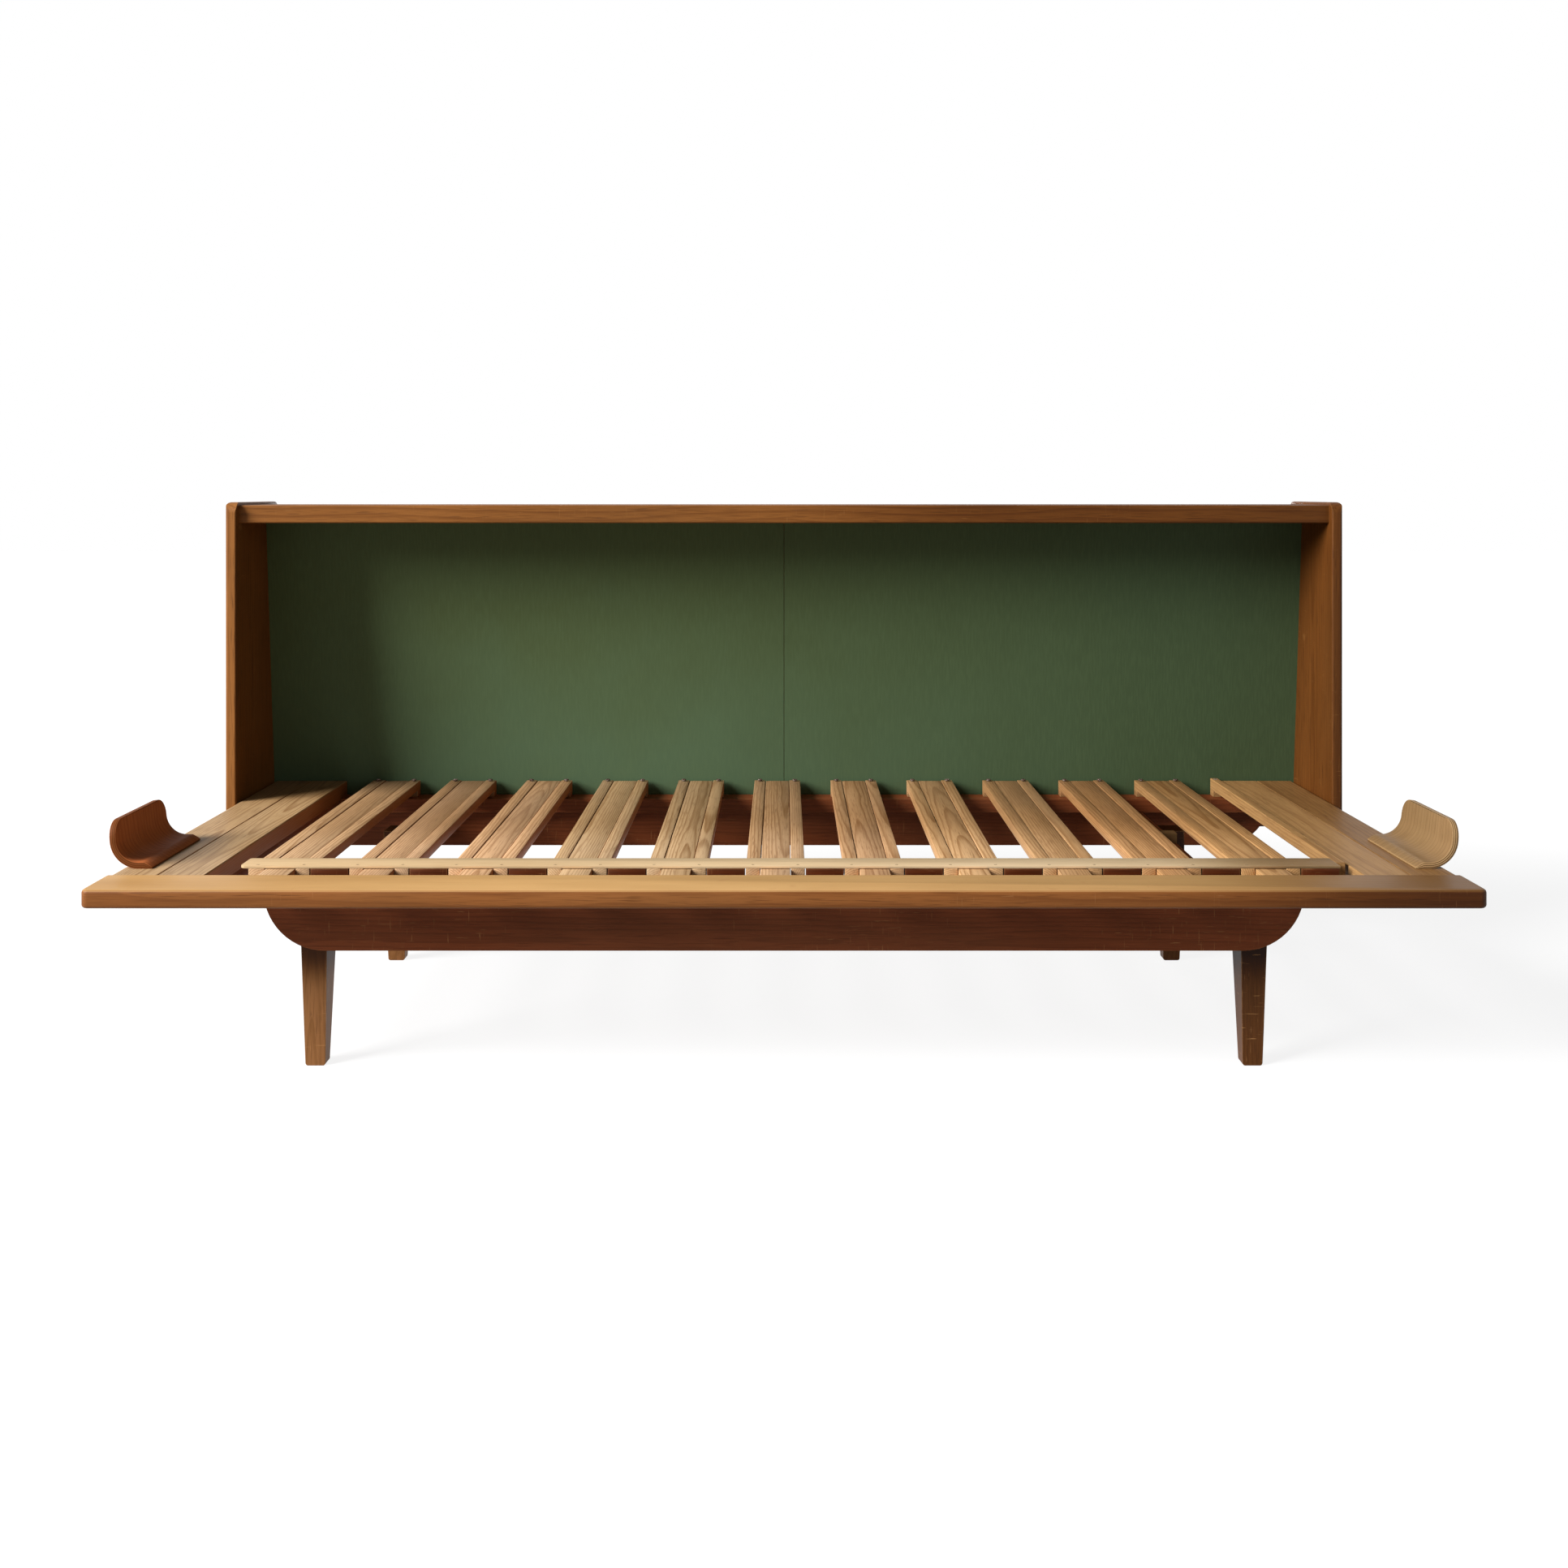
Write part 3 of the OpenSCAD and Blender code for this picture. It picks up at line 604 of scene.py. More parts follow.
def solids_of(node: str) -> list[Box]:
    """Finds the separate solids of a CAD node.

    Args:
        node: the node's name.

    Returns:
        The lowest and highest corner of each solid.
    """
    copy = bmesh.new()
    copy.from_mesh(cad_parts[node].data)
    bmesh.ops.remove_doubles(copy, verts=copy.verts, dist=1e-6)
    left = set(copy.verts)
    boxes = []
    while left:
        front, found = [left.pop()], []
        while front:
            vertex = front.pop()
            found.append(vertex.co.copy())
            near = {edge.other_vert(vertex) for edge in vertex.link_edges} & left
            left -= near
            front.extend(near)
        boxes.append(tuple(Vector([pick(steps) for steps in zip(*found)]) for pick in (min, max)))
    copy.free()
    return sorted(boxes, key=lambda box: tuple(box[0]))


def copies_tree() -> bpy.types.NodeTree:
    """Builds the node tree that puts a randomly turned copy of one unit at each point.

    Each point's "stretch" widens its copy along X. Each copy keeps three numbers of its own in
    "board" and its point in "centre", which the wood reads with the point's "tint".

    Returns:
        The tree.
    """
    tree = bpy.data.node_groups.new("copies_at_points", "GeometryNodeTree")
    for name, kind in (("Points", "Geometry"), ("Unit", "Object"), ("Axis", "Vector"),
                       ("Turn", "Float"), ("Seed", "Int"), ("Material", "Material")):
        tree.interface.new_socket(name=name, in_out="INPUT", socket_type=f"NodeSocket{kind}")
    tree.interface.new_socket(name="Copies", in_out="OUTPUT", socket_type="NodeSocketGeometry")
    add = partial(add_node, tree)
    given = add("NodeGroupInput", out=None).outputs
    unit = add("GeometryNodeObjectInfo", given["Unit"], out="Geometry")
    angle = add("FunctionNodeRandomValue", out=1, named={
        2: 0.0, 3: given["Turn"], 8: given["Seed"]})
    turn = add("FunctionNodeAxisAngleToRotation", given["Axis"], angle)
    stretch = add("GeometryNodeInputNamedAttribute", "stretch", data_type="FLOAT")
    copies = add("GeometryNodeInstanceOnPoints", given["Points"], named={
        "Instance": unit, "Rotation": turn, "Scale": add(JOIN, stretch, 1.0, 1.0)})
    own = add("FunctionNodeRandomValue", data_type="FLOAT_VECTOR", named={
        0: (0.0,) * 3, 1: (1.0,) * 3, 8: given["Seed"]})
    for name, value in (("board", own), ("centre", add("GeometryNodeInputPosition"))):
        copies = add("GeometryNodeStoreNamedAttribute", copies, data_type="FLOAT_VECTOR",
                     domain="INSTANCE", named={"Name": name, "Value": value})
    real = add("GeometryNodeRealizeInstances", copies)
    dressed = add("GeometryNodeSetMaterial", real, named={"Material": given["Material"]})
    add("NodeGroupOutput", dressed, out=None)
    return tree


def make_copies(name: str, unit: Object, places: Sequence[Vector],
                material: Material, seed: int, stretches: Sequence[float] = (),
                tints: Sequence[Sequence[float]] = (), axis: Vector = UP,
                turn: float = 0.0) -> Object:
    """Makes one plain mesh of a unit's copies, and removes the unit.

    Args:
        name: the new piece's name.
        unit: the object that is copied.
        places: where the copies go.
        material: the finish of all the copies.
        seed: fixes the random turns and numbers.
        stretches: how much wider each copy is, if they differ.
        tints: each copy's factors on red, green and blue, if they differ.
        axis: the axis of the random turn.
        turn: the largest turn in radians.

    Returns:
        The new piece.
    """
    points = bpy.data.meshes.new(name)
    points.from_pydata(places, [], [])
    widths = points.attributes.new("stretch", "FLOAT", "POINT")
    widths.data.foreach_set("value", list(stretches) or [1.0] * len(places))
    colours = points.attributes.new("tint", "FLOAT_VECTOR", "POINT")
    colours.data.foreach_set(
        "vector", [part for tint in tints for part in tint] or [1.0] * (3 * len(places)))
    piece = place_object(name, points)
    tree = bpy.data.node_groups.get("copies_at_points") or copies_tree()
    modifier = piece.modifiers.new("copies", "NODES")
    modifier.node_group = tree
    given = {"Unit": unit, "Axis": axis, "Turn": turn, "Seed": seed, "Material": material}
    for socket in tree.interface.items_tree:
        if socket.in_out == "INPUT" and socket.name in given:
            modifier[socket.identifier] = given[socket.name]
    graph = bpy.context.evaluated_depsgraph_get()
    made = bpy.data.meshes.new_from_object(
        piece.evaluated_get(graph), preserve_all_data_layers=True, depsgraph=graph)
    piece.modifiers.remove(modifier)
    piece.data = made
    made.name = name
    bpy.data.objects.remove(unit)
    return piece


def settle(piece: Object, body: str, slot: str, *nodes: str) -> None:
    """Lets a piece ride on a body, and puts it in the place of CAD nodes.

    Args:
        piece: the piece.
        body: the body it rides on.
        slot: its material slot; not used.
        *nodes: the CAD nodes it stands for, or none for trim.
    """
    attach(piece, body)
    if nodes:
        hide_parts(*nodes)
    LOG.info("%s: %d faces, for %s", piece.name, len(piece.data.polygons),
             ", ".join(nodes) or "the scene alone")


def dress_node(node: str, material: Material) -> None:
    """Gives a CAD node a material.

    Args:
        node: the node's name.
        material: its finish.
    """
    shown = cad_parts[node]
    if not shown.material_slots:
        shown.data.materials.append(material)
    for slot in shown.material_slots:
        slot.material = material
    LOG.info("%s: %s", node, material.name)


def dress_wood(node: str, wood: Wood, grain: Grain, seed: int, tone: float = 1.0,
               *fades: Fade) -> None:
    """Gives a CAD board its own cut of a wood, which is told as for Wood.build."""
    middle = sum(corners_of(node), Vector()) / 2
    dress_node(node, wood.build(node, grain, seed, tone, middle=middle, fades=fades))


def lay_slats(name: str, body: str, nodes: Sequence[str], side: Sequence[Pair], ease: float,
              seed: int, steps: Sequence[float]) -> None:
    """Builds one slat from its side, and copies it to the place of each CAD slat.

    Args:
        name: the new piece's name.
        body: the body it rides on.
        nodes: the slats' CAD nodes, from the left.
        side: the slat's outline from the side.
        ease: radius of the eased edges.
        seed: fixes the slats' parts of the log.
        steps: how light each node's slats are, from the left.
    """
    boxes = [box for node in nodes for box in solids_of(node)]
    width = boxes[-1][1].x - boxes[-1][0].x
    outline = [(-width / 2, y, z) for y, z in side]
    unit = new_piece("slat", prism(outline, Vector((width, 0, 0)), ease))
    places = [Vector(((low.x + high.x) / 2, 0, 0)) for low, high in boxes]
    stretches = [(high.x - low.x) / width for low, high in boxes]
    # Tints are pinkish and pale at the left, browner at the right
    draw = random.Random(TINT_SEED)
    tints = []
    for place in places[::len(steps)]:
        brown = min(1.0, max(0.0, (place.x + 0.2) / 0.95))
        tone, red = draw.uniform(0.86, 1.06), draw.uniform(0.0, 0.10)
        tint = [tone * (1 - 0.16 * brown), tone * (1 - 0.30 * brown - red),
                tone * (1 - 0.48 * brown - red)]
        tints += [[step * part for part in tint] for step in steps]
    material = RIGHT_SHADED_OAK.build(name, Grain.ALONG_Y, seed, 1.0, Source.ROW, SLAT_MIDDLE, [SLAT_FRONT_LIGHT])
    piece = make_copies(name, unit, places, material, seed, stretches, tints)
    settle(piece, body, "oak", *nodes)


# ---- Fasteners


@dataclass
class ScrewHeads:
    """Slotted countersunk heads in place of one CAD group of screws."""

    node: str
    body: str
    facing: Vector
    seed: int
    head: float = 9.0
    slot: float = 1.4
    slot_depth: float = 0.9
    plate: float = 1.6
    dome: float = 0.25
    ease: float = 0.15
    rim_sides: int = 20
    iron: Iron = BROWN_IRON

    def build(self) -> None:
        """Builds one head, and copies it to each screw of the node."""
        unit = new_piece("screw_head", self._head())
        size = Vector([abs(step) for step in self.facing])
        places = [(low + high) / 2 + self.facing * (size.dot(high - low) / 2)
                  for low, high in solids_of(self.node)]
        piece = make_copies(f"{self.node}_heads", unit, places, self.iron.build(self.node),
                            self.seed, axis=self.facing, turn=pi)
        settle(piece, self.body, "steel", self.node)

    def _head(self) -> Body:
        """Builds a disc with two raised halves and a slot between them.

        Returns:
            The head.
        """
        radius, half_slot = self.head / 2 * MM, self.slot / 2 * MM
        floor = -self.slot_depth * MM
        disc = [(x, y, floor) for x, y in arc((0, 0), radius, 0, 360, self.rim_sides)[:-1]]
        shapes = [prism(disc, -UP * self.plate * MM, 0.0)]
        cut = degrees(asin(half_slot / radius))
        for side in (1, -1):
            half = [(x, side * y, floor)
                    for x, y in arc((0, 0), radius, cut, 180 - cut, self.rim_sides // 2 - 1)]
            shapes.append(prism(half, UP * (self.slot_depth + self.dome) * MM, self.ease * MM))
        whole = bmesh.new()
        for shape in shapes:
            part = bpy.data.meshes.new("part")
            shape.to_mesh(part)
            shape.free()
            whole.from_mesh(part)
            bpy.data.meshes.remove(part)
        upright = UP.rotation_difference(self.facing).to_matrix()
        bmesh.ops.rotate(whole, verts=whole.verts, cent=Vector(), matrix=upright)
        return whole


# ---- Sub-assemblies


@dataclass
class Base:
    """Base frame: two long rails, two cross rails, four tapered legs and the travel blocks."""

    rail_tone: float = 0.95
    leg_tones: Pair = (0.9, 0.38)
    # Painted shadow of the deck on the tops of the legs
    leg_top_shadow: Fade = Fade(-0.015, 0.045, 1.0, 0.2)
    block_tone: float = 0.25
    seed: int = 11

    def build(self) -> None:
        """Dresses the base's CAD nodes."""
        block = replace(PALE_BEECH, wear=0.0)
        dress_wood("front_base_rail", BROWN_OAK, Grain.ALONG_X, self.seed, self.rail_tone)
        dress_wood("rear_base_rail", BROWN_OAK, Grain.ALONG_X, self.seed + 1, self.rail_tone)
        for seed, side, tone in zip((self.seed + 2, self.seed + 3), SIDES, self.leg_tones):
            dress_wood(f"{side}_cross_rail", BROWN_OAK, Grain.ALONG_Y, seed)
            dress_wood(f"{side}_travel_block", block, Grain.ALONG_Y, seed + 2, self.block_tone)
            dress_wood(f"leg_front_{side}", WORN_OAK, Grain.ALONG_Z, seed + 4, tone, self.leg_top_shadow)
            dress_wood(f"leg_rear_{side}", WORN_OAK, Grain.ALONG_Z, seed + 6, tone, self.leg_top_shadow)
        dress_wood("base_dowels", PALE_BEECH, Grain.ALONG_Y, self.seed + 10)
        dress_node("leg_screws", BROWN_IRON.build("leg_screws"))


@dataclass
class FixedComb:
    """Narrow slats, the single end slat, the batten let into them and the packers below it."""

    ease: float = 0.8
    slat_top: float = 301.0
    under: float = 284.7
    rail_top: float = 272.7
    toe: float = 21.0
    heel: float = 23.0
    pair_steps: Pair = (1.04, 1.0)
    play: float = 0.01
    batten_depth: float = 50.2
    batten_corner: float = 9.0
    batten_ease: float = 0.6
    # The first fade is painted light, lighter towards the right against the key lamp's falloff; the
    # second darkens the right end
    batten_fades: tuple[Fade, Fade] = (Fade(-0.8, 0.4, 0.84, 1.16), Fade(0.55, 0.76, 1.0, 0.4))
    packer: Triple = (57.0, 20.0, 28.2)
    packer_ease: float = 0.5
    # The packers' dark tone is painted shade under the batten
    packer_tone: float = 0.32
    seed: int = 31

    def build(self) -> None:
        """Builds the slats, the batten, the packers and the heads of the screws."""
        self._slats()
        self._batten()
        dress_wood("end_narrow_slat", HONEY_OAK, Grain.ALONG_Y, self.seed + 2)
        ScrewHeads("batten_screws", BASE, UP, self.seed + 3, head=4.5, slot=0.7, slot_depth=0.4,
                   dome=0.1, iron=DULL_IRON).build()
        self._packers()
        ScrewHeads("slat_screws", BASE, UP, self.seed + 4).build()

    def _slats(self) -> None:
        """Builds one narrow slat, rebated for the batten, and copies it to each place."""
        nodes = [f"narrow_slats_{tag}" for tag in TAGS]
        low, high = corners_of(nodes[-1])
        top, under, foot = (size * MM for size in (self.slat_top, self.under, self.rail_top))
        toe, heel = low.y + self.toe * MM, high.y - self.heel * MM
        rebate_end = low.y + self.batten_depth * MM
        rebate = corners_of("cross_batten")[0].z - self.play * MM
        side = [(low.y, foot), (toe, foot), (toe, under), (heel, under), (heel, foot),
                (high.y, foot), (high.y, top), (rebate_end, top), (rebate_end, rebate),
                (low.y, rebate)]
        lay_slats("narrow_slats", BASE, nodes, side, self.ease * MM, self.seed, self.pair_steps)

    def _packers(self) -> None:
        """Builds the dark packers that fill the slots under the batten."""
        width, depth, height = (size * MM for size in self.packer)
        front, foot = corners_of("cross_batten")[0].y, corners_of("front_base_rail")[1].z
        side = rectangle(front, front + depth, foot, foot + height)
        outline = [(-width / 2, y, z) for y, z in side]
        unit = new_piece("packer", prism(outline, Vector((width, 0, 0)), self.packer_ease * MM))
        middles = [sum(corner.x for corner in corners_of(f"wide_slat_{tag}")) / 2 for tag in TAGS]
        half_pitch = (middles[1] - middles[0]) / 2
        places = [Vector((middle + half_pitch, 0, 0)) for middle in middles]
        material = BROWN_OAK.build(
            "front_packers", Grain.ALONG_X, self.seed + 5, self.packer_tone, Source.ROW)
        piece = make_copies("front_packers", unit, places, material, self.seed + 5)
        settle(piece, BASE, "brown_oak")

    def _batten(self) -> None:
        """Builds the flat batten with rounded corners at its free left end."""
        low, high = corners_of("cross_batten")
        r = self.batten_corner * MM
        plan = arc((low.x + r, low.y + r), r, 180, 270)
        plan += [(high.x, low.y), (high.x, high.y)]
        plan += arc((low.x + r / 2, high.y - r / 2), r / 2, 90, 180, 4)
        body = prism([(x, y, low.z) for x, y in plan], UP * (high.z - low.z), self.batten_ease * MM)
        material = PALE_BEECH.build("flat_batten", Grain.ALONG_X, self.seed + 1,
                                    middle=(low + high) / 2, fades=self.batten_fades)
        settle(new_piece("flat_batten", body, material), BASE, "pale_wood", "cross_batten")


@dataclass
class BackCase:
    """Open case at the back: two side panels, top board, bottom rail and leaning green panels."""

    # The right panel's low tone is painted shade, darker where the light falls off
    side_light_tones: Pair = (1.05, 0.46)
    # Painted shade on the left panel's inner face
    inside_shade: Fade = Fade(0.0085, 0.0098, 1.0, 0.55, across=True)
    top_tone: float = 0.84
    top_fade: Fade = Fade(-0.1, 0.4, 1.0, 0.52)
    seed: int = 51

    def build(self) -> None:
        """Dresses the case's CAD nodes and builds the heads of its screws."""
        for seed, side, tone, fades in zip((self.seed, self.seed + 1), SIDES, self.side_light_tones,
                                           ([self.inside_shade], [])):
            dress_wood(f"{side}_side_panel", CASE_OAK, Grain.ALONG_Z, seed, tone, *fades)
            dress_node(f"{side}_back_panel", GREEN_PAINT.build(f"{side}_back_panel"))
        dress_wood("top_board", CASE_OAK, Grain.ALONG_X, self.seed + 2, self.top_tone,
                   self.top_fade)
        dress_wood("case_bottom_rail", BROWN_OAK, Grain.ALONG_X, self.seed + 3)
        dress_wood("back_stile", CASE_OAK, Grain.ALONG_Z, self.seed + 4)
        dress_wood("case_dowels", PALE_BEECH, Grain.ALONG_X, self.seed + 5)
        ScrewHeads("case_screws", BASE, Vector((0, 1, 0)), self.seed + 6).build()


@dataclass
class Deck:
    """Sliding deck: front rail, end boards, wide slats, the tie rail and the left bearer."""

    ease: float = 0.9
    rail_corner: float = 12.0
    rail_edge: float = 5.0
    rail_past: float = 4.0
    # The first fade is painted shade at the left end, nearest the key lamp; the second darkens the
    # right end
    rail_fades: tuple[Fade, Fade] = (Fade(-0.98, -0.2, 0.82, 1.0), Fade(0.5, 0.97, 1.0, 0.32))
    # Painted shadow of the left side panel on the left boards' rear
    rear_shadow: Fade = Fade(0.12, 0.27, 1.0, 0.55)
    right_tone: float = 0.66
    bearer: Triple = (22.0, 640.0, 33.0)
    bearer_gap: float = 5.0
    bearer_ease: float = 0.5
    bearer_tone: float = 0.8
    seed: int = 71

    def build(self) -> None:
        """Dresses the deck's boards, and builds its slats and the heads of its screws."""
        self._rail()
        boards = ((RIGHT_SHADED_OAK, 1.0, [self.rear_shadow]), (HONEY_OAK, self.right_tone, []))
        for seed, side, (wood, tone, fades) in zip((self.seed + 2, self.seed + 3), SIDES, boards):
            dress_wood(f"{side}_outer_board", wood, Grain.ALONG_Y, seed, tone, *fades)
            dress_wood(f"{side}_inner_board", wood, Grain.ALONG_Y, seed + 2, 1.0, *fades)
        dress_wood("rear_tie_rail", BROWN_OAK, Grain.ALONG_X, self.seed + 6)
        nodes = [f"wide_slat_{tag}" for tag in TAGS]
        low, high = corners_of(nodes[0])
        side = rectangle(corners_of("front_rail")[1].y, high.y, low.z, high.z)
        lay_slats("wide_slats", DECK, nodes, side, self.ease * MM, self.seed, [1.0])
        self._bearer()
        ScrewHeads("tie_screws", DECK, -UP, self.seed + 7).build()
        ScrewHeads("stop_screws", DECK, -UP, self.seed + 8).build()

    def _rail(self) -> None:
        """Builds the front rail, with rounded front corners and soft edges except at its back."""
        low, high = corners_of("front_rail")
        r = self.rail_corner * MM
        left, right = low.x - self.rail_past * MM, high.x + self.rail_past * MM
        plan = arc((left + r, low.y + r), r, 180, 270) + arc((right - r, low.y + r), r, 270, 360)
        plan += [(right, high.y), (left, high.y)]
        body = prism([(x, y, low.z) for x, y in plan], UP * (high.z - low.z),
                     self.rail_edge * MM, 3, high.y - MM)
        material = RAIL_OAK.build("front_rail", Grain.ALONG_X, self.seed + 1,
                                  middle=(low + high) / 2, fades=self.rail_fades)
        settle(new_piece("front_rail_board", body, material), DECK, "oak", "front_rail")

    def _bearer(self) -> None:
        """Builds the dark strip below the left inner board's free edge."""
        width, depth, height = (size * MM for size in self.bearer)
        low, high = corners_of("left_inner_board")
        front = corners_of("front_base_rail")[1].y + self.bearer_gap * MM
        outline = [(x, front, z)
                   for x, z in rectangle(high.x - width, high.x, low.z - height, low.z)]
        body = prism(outline, Vector((0, depth, 0)), self.bearer_ease * MM)
        middle = Vector((high.x, front + depth / 2, low.z))
        material = BROWN_OAK.build(
            "left_bearer", Grain.ALONG_Y, self.seed + 9, self.bearer_tone, middle=middle)
        settle(new_piece("left_bearer", body, material), DECK, "brown_oak")


@dataclass
class MattressStop:
    """Stop of bent plywood on the deck's end board, at the left for side -1, or the right for 1.

    The sheet grows from a thin foot to its full thickness, bends up and ends in rounded corners.
    """

    side: int
    wood: Wood
    seed: int
    centre_x: float = 970.7
    deck_top: float = 300.0
    height: float = 70.0
    bend: float = 44.0
    thick: float = 10.0
    angle: float = 84.0
    foot: float = 21.0
    taper: float = 12.0
    tip: float = 3.0
    corner: float = 28.0
    ease: float = 1.2
    rim_turn: float = 50.0
    columns: int = 14
    bend_steps: int = 16
    corner_steps: int = 8

    def build(self) -> None:
        """Builds the sheet, and keeps its unrolled place and its depth for the grain and plies."""
        name = f"{SIDES[self.side > 0]}_mattress_stop"
        low, high = corners_of(name)
        sheet = bmesh.new()
        sheet.loops.layers.uv.new("sheet")
        ply = sheet.verts.layers.float.new("ply")
        places, grids = {}, ([], [])
        for grid, depth in zip(grids, (1.0, 0.0)):
            for way, (x, z), (nx, nz), thick, inset in self._rows():
                share = thick * (1 - depth)
                start, end = low.y + inset * MM, high.y - inset * MM
                grid.append([])
                for k in range(self.columns + 1):
                    y = start + (end - start) * k / self.columns
                    vertex = sheet.verts.new(
                        (self.side * (x + nx * share) * MM, y, (z + nz * share) * MM))
                    vertex[ply] = depth
                    places[vertex] = (y, way * MM)
                    grid[-1].append(vertex)
        self._skin(sheet, *grids, places)
        material = self.wood.build(name, Grain.ALONG_Z, self.seed, source=Source.SHEET)
        settle(new_piece(f"{name}_sheet", sheet, material), DECK, "brown_oak", name)

    def _rows(self) -> list[tuple[float, Pair, Pair, float, float]]:
        """Follows the section from the foot's tip round the bend to the upper edge.

        Returns:
            Each row's way along the sheet, point on the outer face, direction to the inner face,
            thickness and inset of both ends.
        """
        mid_z = self.deck_top + self.bend
        rows = []
        for way in (0.0, self.taper / 2, self.taper, (self.taper + self.foot) / 2):
            thick = self.tip + (self.thick - self.tip) * min(1.0, way / self.taper)
            point = (self.centre_x - self.foot + way, self.deck_top)
            rows.append((way, point, (0.0, 1.0), thick, 0.0))
        for k in range(self.bend_steps + 1):
            turn = self.angle * k / self.bend_steps
            a = radians(turn - 90)
            point = (self.centre_x + self.bend * cos(a), mid_z + self.bend * sin(a))
            rows.append((self.foot + self.bend * radians(turn), point,
                         (-cos(a), -sin(a)), self.thick, 0.0))
        bend_way, (x, z), normal = rows[-1][:3]
        rise = (self.deck_top + self.height - z) / -normal[0]
        straight = max(rise - self.corner, 0.0)
        for k in range(self.corner_steps + 1):
            a = radians(90 * k / self.corner_steps)
            up = straight + self.corner * sin(a)
            point = (x + normal[1] * up, z - normal[0] * up)
            rows.append((bend_way + up, point, normal, self.thick, self.corner * (1 - cos(a))))
        return rows

    def _skin(self, sheet: Body, outer: list[list[Any]], inner: list[list[Any]],
              places: dict[Any, Pair]) -> None:
        """Covers the two faces and the rim between them, and eases the rim.

        Args:
            sheet: the body.
            outer: the outer face's rows of vertices.
            inner: the inner face's rows.
            places: each vertex's place on the unrolled sheet.
        """
        faces = []
        for grid in (outer, inner):
            for below, above in zip(grid, grid[1:]):
                for k in range(self.columns):
                    faces.append((below[k], below[k + 1], above[k + 1], above[k]))
        ring = [list(grid[0]) + [line[-1] for line in grid[1:]] + grid[-1][-2::-1]
                + [line[0] for line in grid[-2:0:-1]] for grid in (outer, inner)]
        loop = list(zip(*ring))
        faces += [(a, b, d, c) for (a, b), (c, d) in zip(loop, loop[1:] + loop[:1])]
        unrolled = sheet.loops.layers.uv["sheet"]
        for corners in faces:
            face = sheet.faces.new(corners)
            for corner in face.loops:
                corner[unrolled].uv = places[corner.vert]
        bmesh.ops.recalc_face_normals(sheet, faces=sheet.faces)
        sharp = [edge for edge in sheet.edges if edge.calc_face_angle(0.0) > radians(self.rim_turn)]
        bmesh.ops.bevel(
            sheet, geom=sharp, offset=self.ease * MM, segments=2, profile=0.5, affect="EDGES")


# ---- Studio


@dataclass(frozen=True)
class Lamp:
    """Rectangular soft lamp."""

    name: str
    place: Triple
    size: Pair
    watts: float
    aim: Triple = (0.0, 0.1, 0.4)

    def hang(self) -> None:
        """Hangs the lamp so that it looks at the middle of the object."""
        data = bpy.data.lights.new(self.name, "AREA")
        data.shape = "RECTANGLE"
        data.energy = self.watts
        data.size, data.size_y = self.size
        lamp = place_object(self.name, data)
        lamp.location = self.place
        way = Vector(self.aim) - Vector(self.place)
        lamp.rotation_euler = way.to_track_quat("-Z", "Y").to_euler()


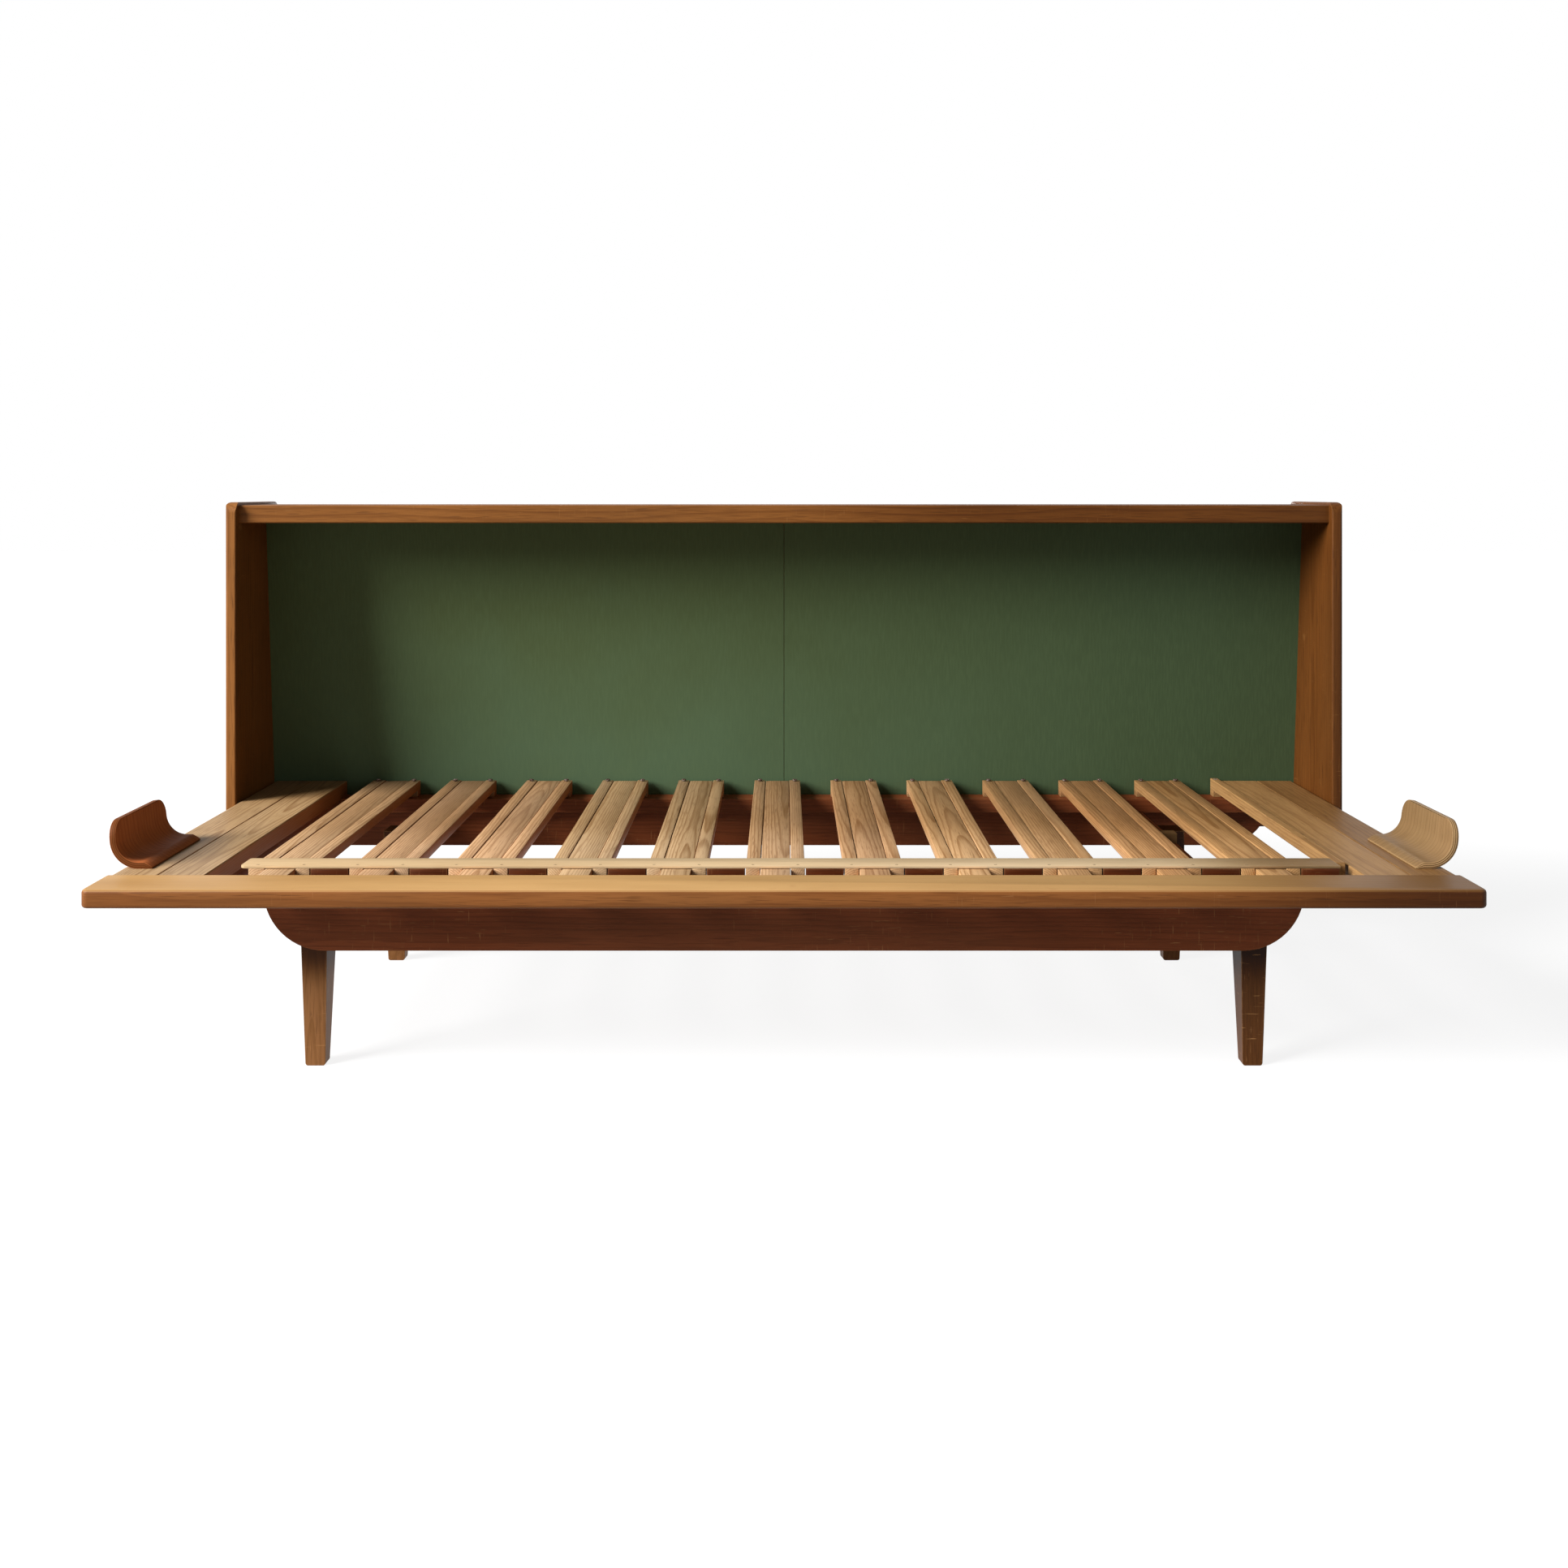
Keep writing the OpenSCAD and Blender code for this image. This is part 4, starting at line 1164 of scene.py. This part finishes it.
@dataclass
class Studio:
    """White floor, one large and two weak lamps, and the camera, whose lens is in millimetres."""

    camera_place: Triple = (0.0, -2.6515, 0.867)
    lens: float = 35.776
    sensor: float = 36.0
    shift: float = -360 / 1932
    sight: float = 100.0
    lamps: tuple[Lamp, ...] = (
        Lamp("key", (-9.2, -4.6, 5.8), (5.0, 5.8), 3000.0),
        Lamp("fill", (5.0, -3.5, 2.0), (3.0, 3.0), 36.0),
        Lamp("back", (0.0, 5.0, 0.4), (2.0, 0.7), 110.0))
    sky: float = 0.06
    half_floor: float = 20.0
    floor_shown: str = "7c7c7c"
    floor_lit: str = "959595"
    # The floor's own white, near the object and away from it, and where it changes
    glow: Sequence[float] = (1.4, 3.2, 0.86, 1.0)

    def build(self) -> None:
        """Sets the floor, the world, the lamps and the camera."""
        self._floor()
        self._world()
        for lamp in self.lamps:
            lamp.hang()
        data = bpy.data.cameras.new("camera")
        data.lens = self.lens
        data.sensor_width = self.sensor
        data.shift_y = self.shift
        data.clip_end = self.sight
        camera = place_object("camera", data)
        camera.location = self.camera_place
        camera.rotation_euler = (pi / 2, 0.0, 0.0)
        bpy.context.scene.camera = camera
        bpy.context.scene.view_settings.view_transform = "Standard"

    def _seen(self, add: Add) -> Any:
        """Returns 1 for rays that show the background: straight, mirrored or through glass."""
        path = add("ShaderNodeLightPath", out=None).outputs
        return add(GREATER, add(GREATER, path["Is Camera Ray"], path["Is Glossy Ray"]),
                   path["Is Transmission Ray"])

    def _floor(self) -> None:
        """Lays a floor that shows almost white and keeps the object's shadow."""
        mesh = bpy.data.meshes.new("floor")
        half = self.half_floor
        corners = [(x, y, 0) for x, y in rectangle(-half, half, -half, half)]
        mesh.from_pydata(corners, [], [(0, 1, 2, 3)])
        floor = place_object("floor", mesh)
        material, add = new_material("white_floor")
        away = add(LENGTH, add("ShaderNodeTexCoord", out="Object"), out="Value")
        white = add("ShaderNodeEmission", named={
            "Color": linear("ffffff"), "Strength": add(SPAN, away, *self.glow, **SMOOTH)})
        shown = add("ShaderNodeAddShader", white,
                    add("ShaderNodeBsdfDiffuse", linear(self.floor_shown)))
        lit = add("ShaderNodeBsdfDiffuse", linear(self.floor_lit))
        mixed = add("ShaderNodeMixShader", self._seen(add), lit, shown)
        add("ShaderNodeOutputMaterial", mixed, out=None)
        mesh.materials.append(material)

    def _world(self) -> None:
        """Makes the surroundings white to the eye and a soft light to the object."""
        world = bpy.data.worlds.new("studio")
        bpy.context.scene.world = world
        world.use_nodes = True
        world.node_tree.nodes.clear()
        add = partial(add_node, world.node_tree)
        strength = add(SPAN, self._seen(add), 0.0, 1.0, self.sky, 1.0)
        sky = add("ShaderNodeBackground", linear("ffffff"), strength)
        add("ShaderNodeOutputWorld", sky, out=None)


def main() -> None:
    """Builds every sub-assembly in order and sets the studio."""
    logging.basicConfig(level=logging.INFO, format="%(message)s")
    for assembly in (Base(), FixedComb(), BackCase(), Deck(), MattressStop(-1, SHADED_PLY, 91),
                     MattressStop(1, BENT_PLY, 92)):
        LOG.info("-- %s", type(assembly).__name__)
        assembly.build()
    Studio().build()


if __name__ == "__main__":
    main()
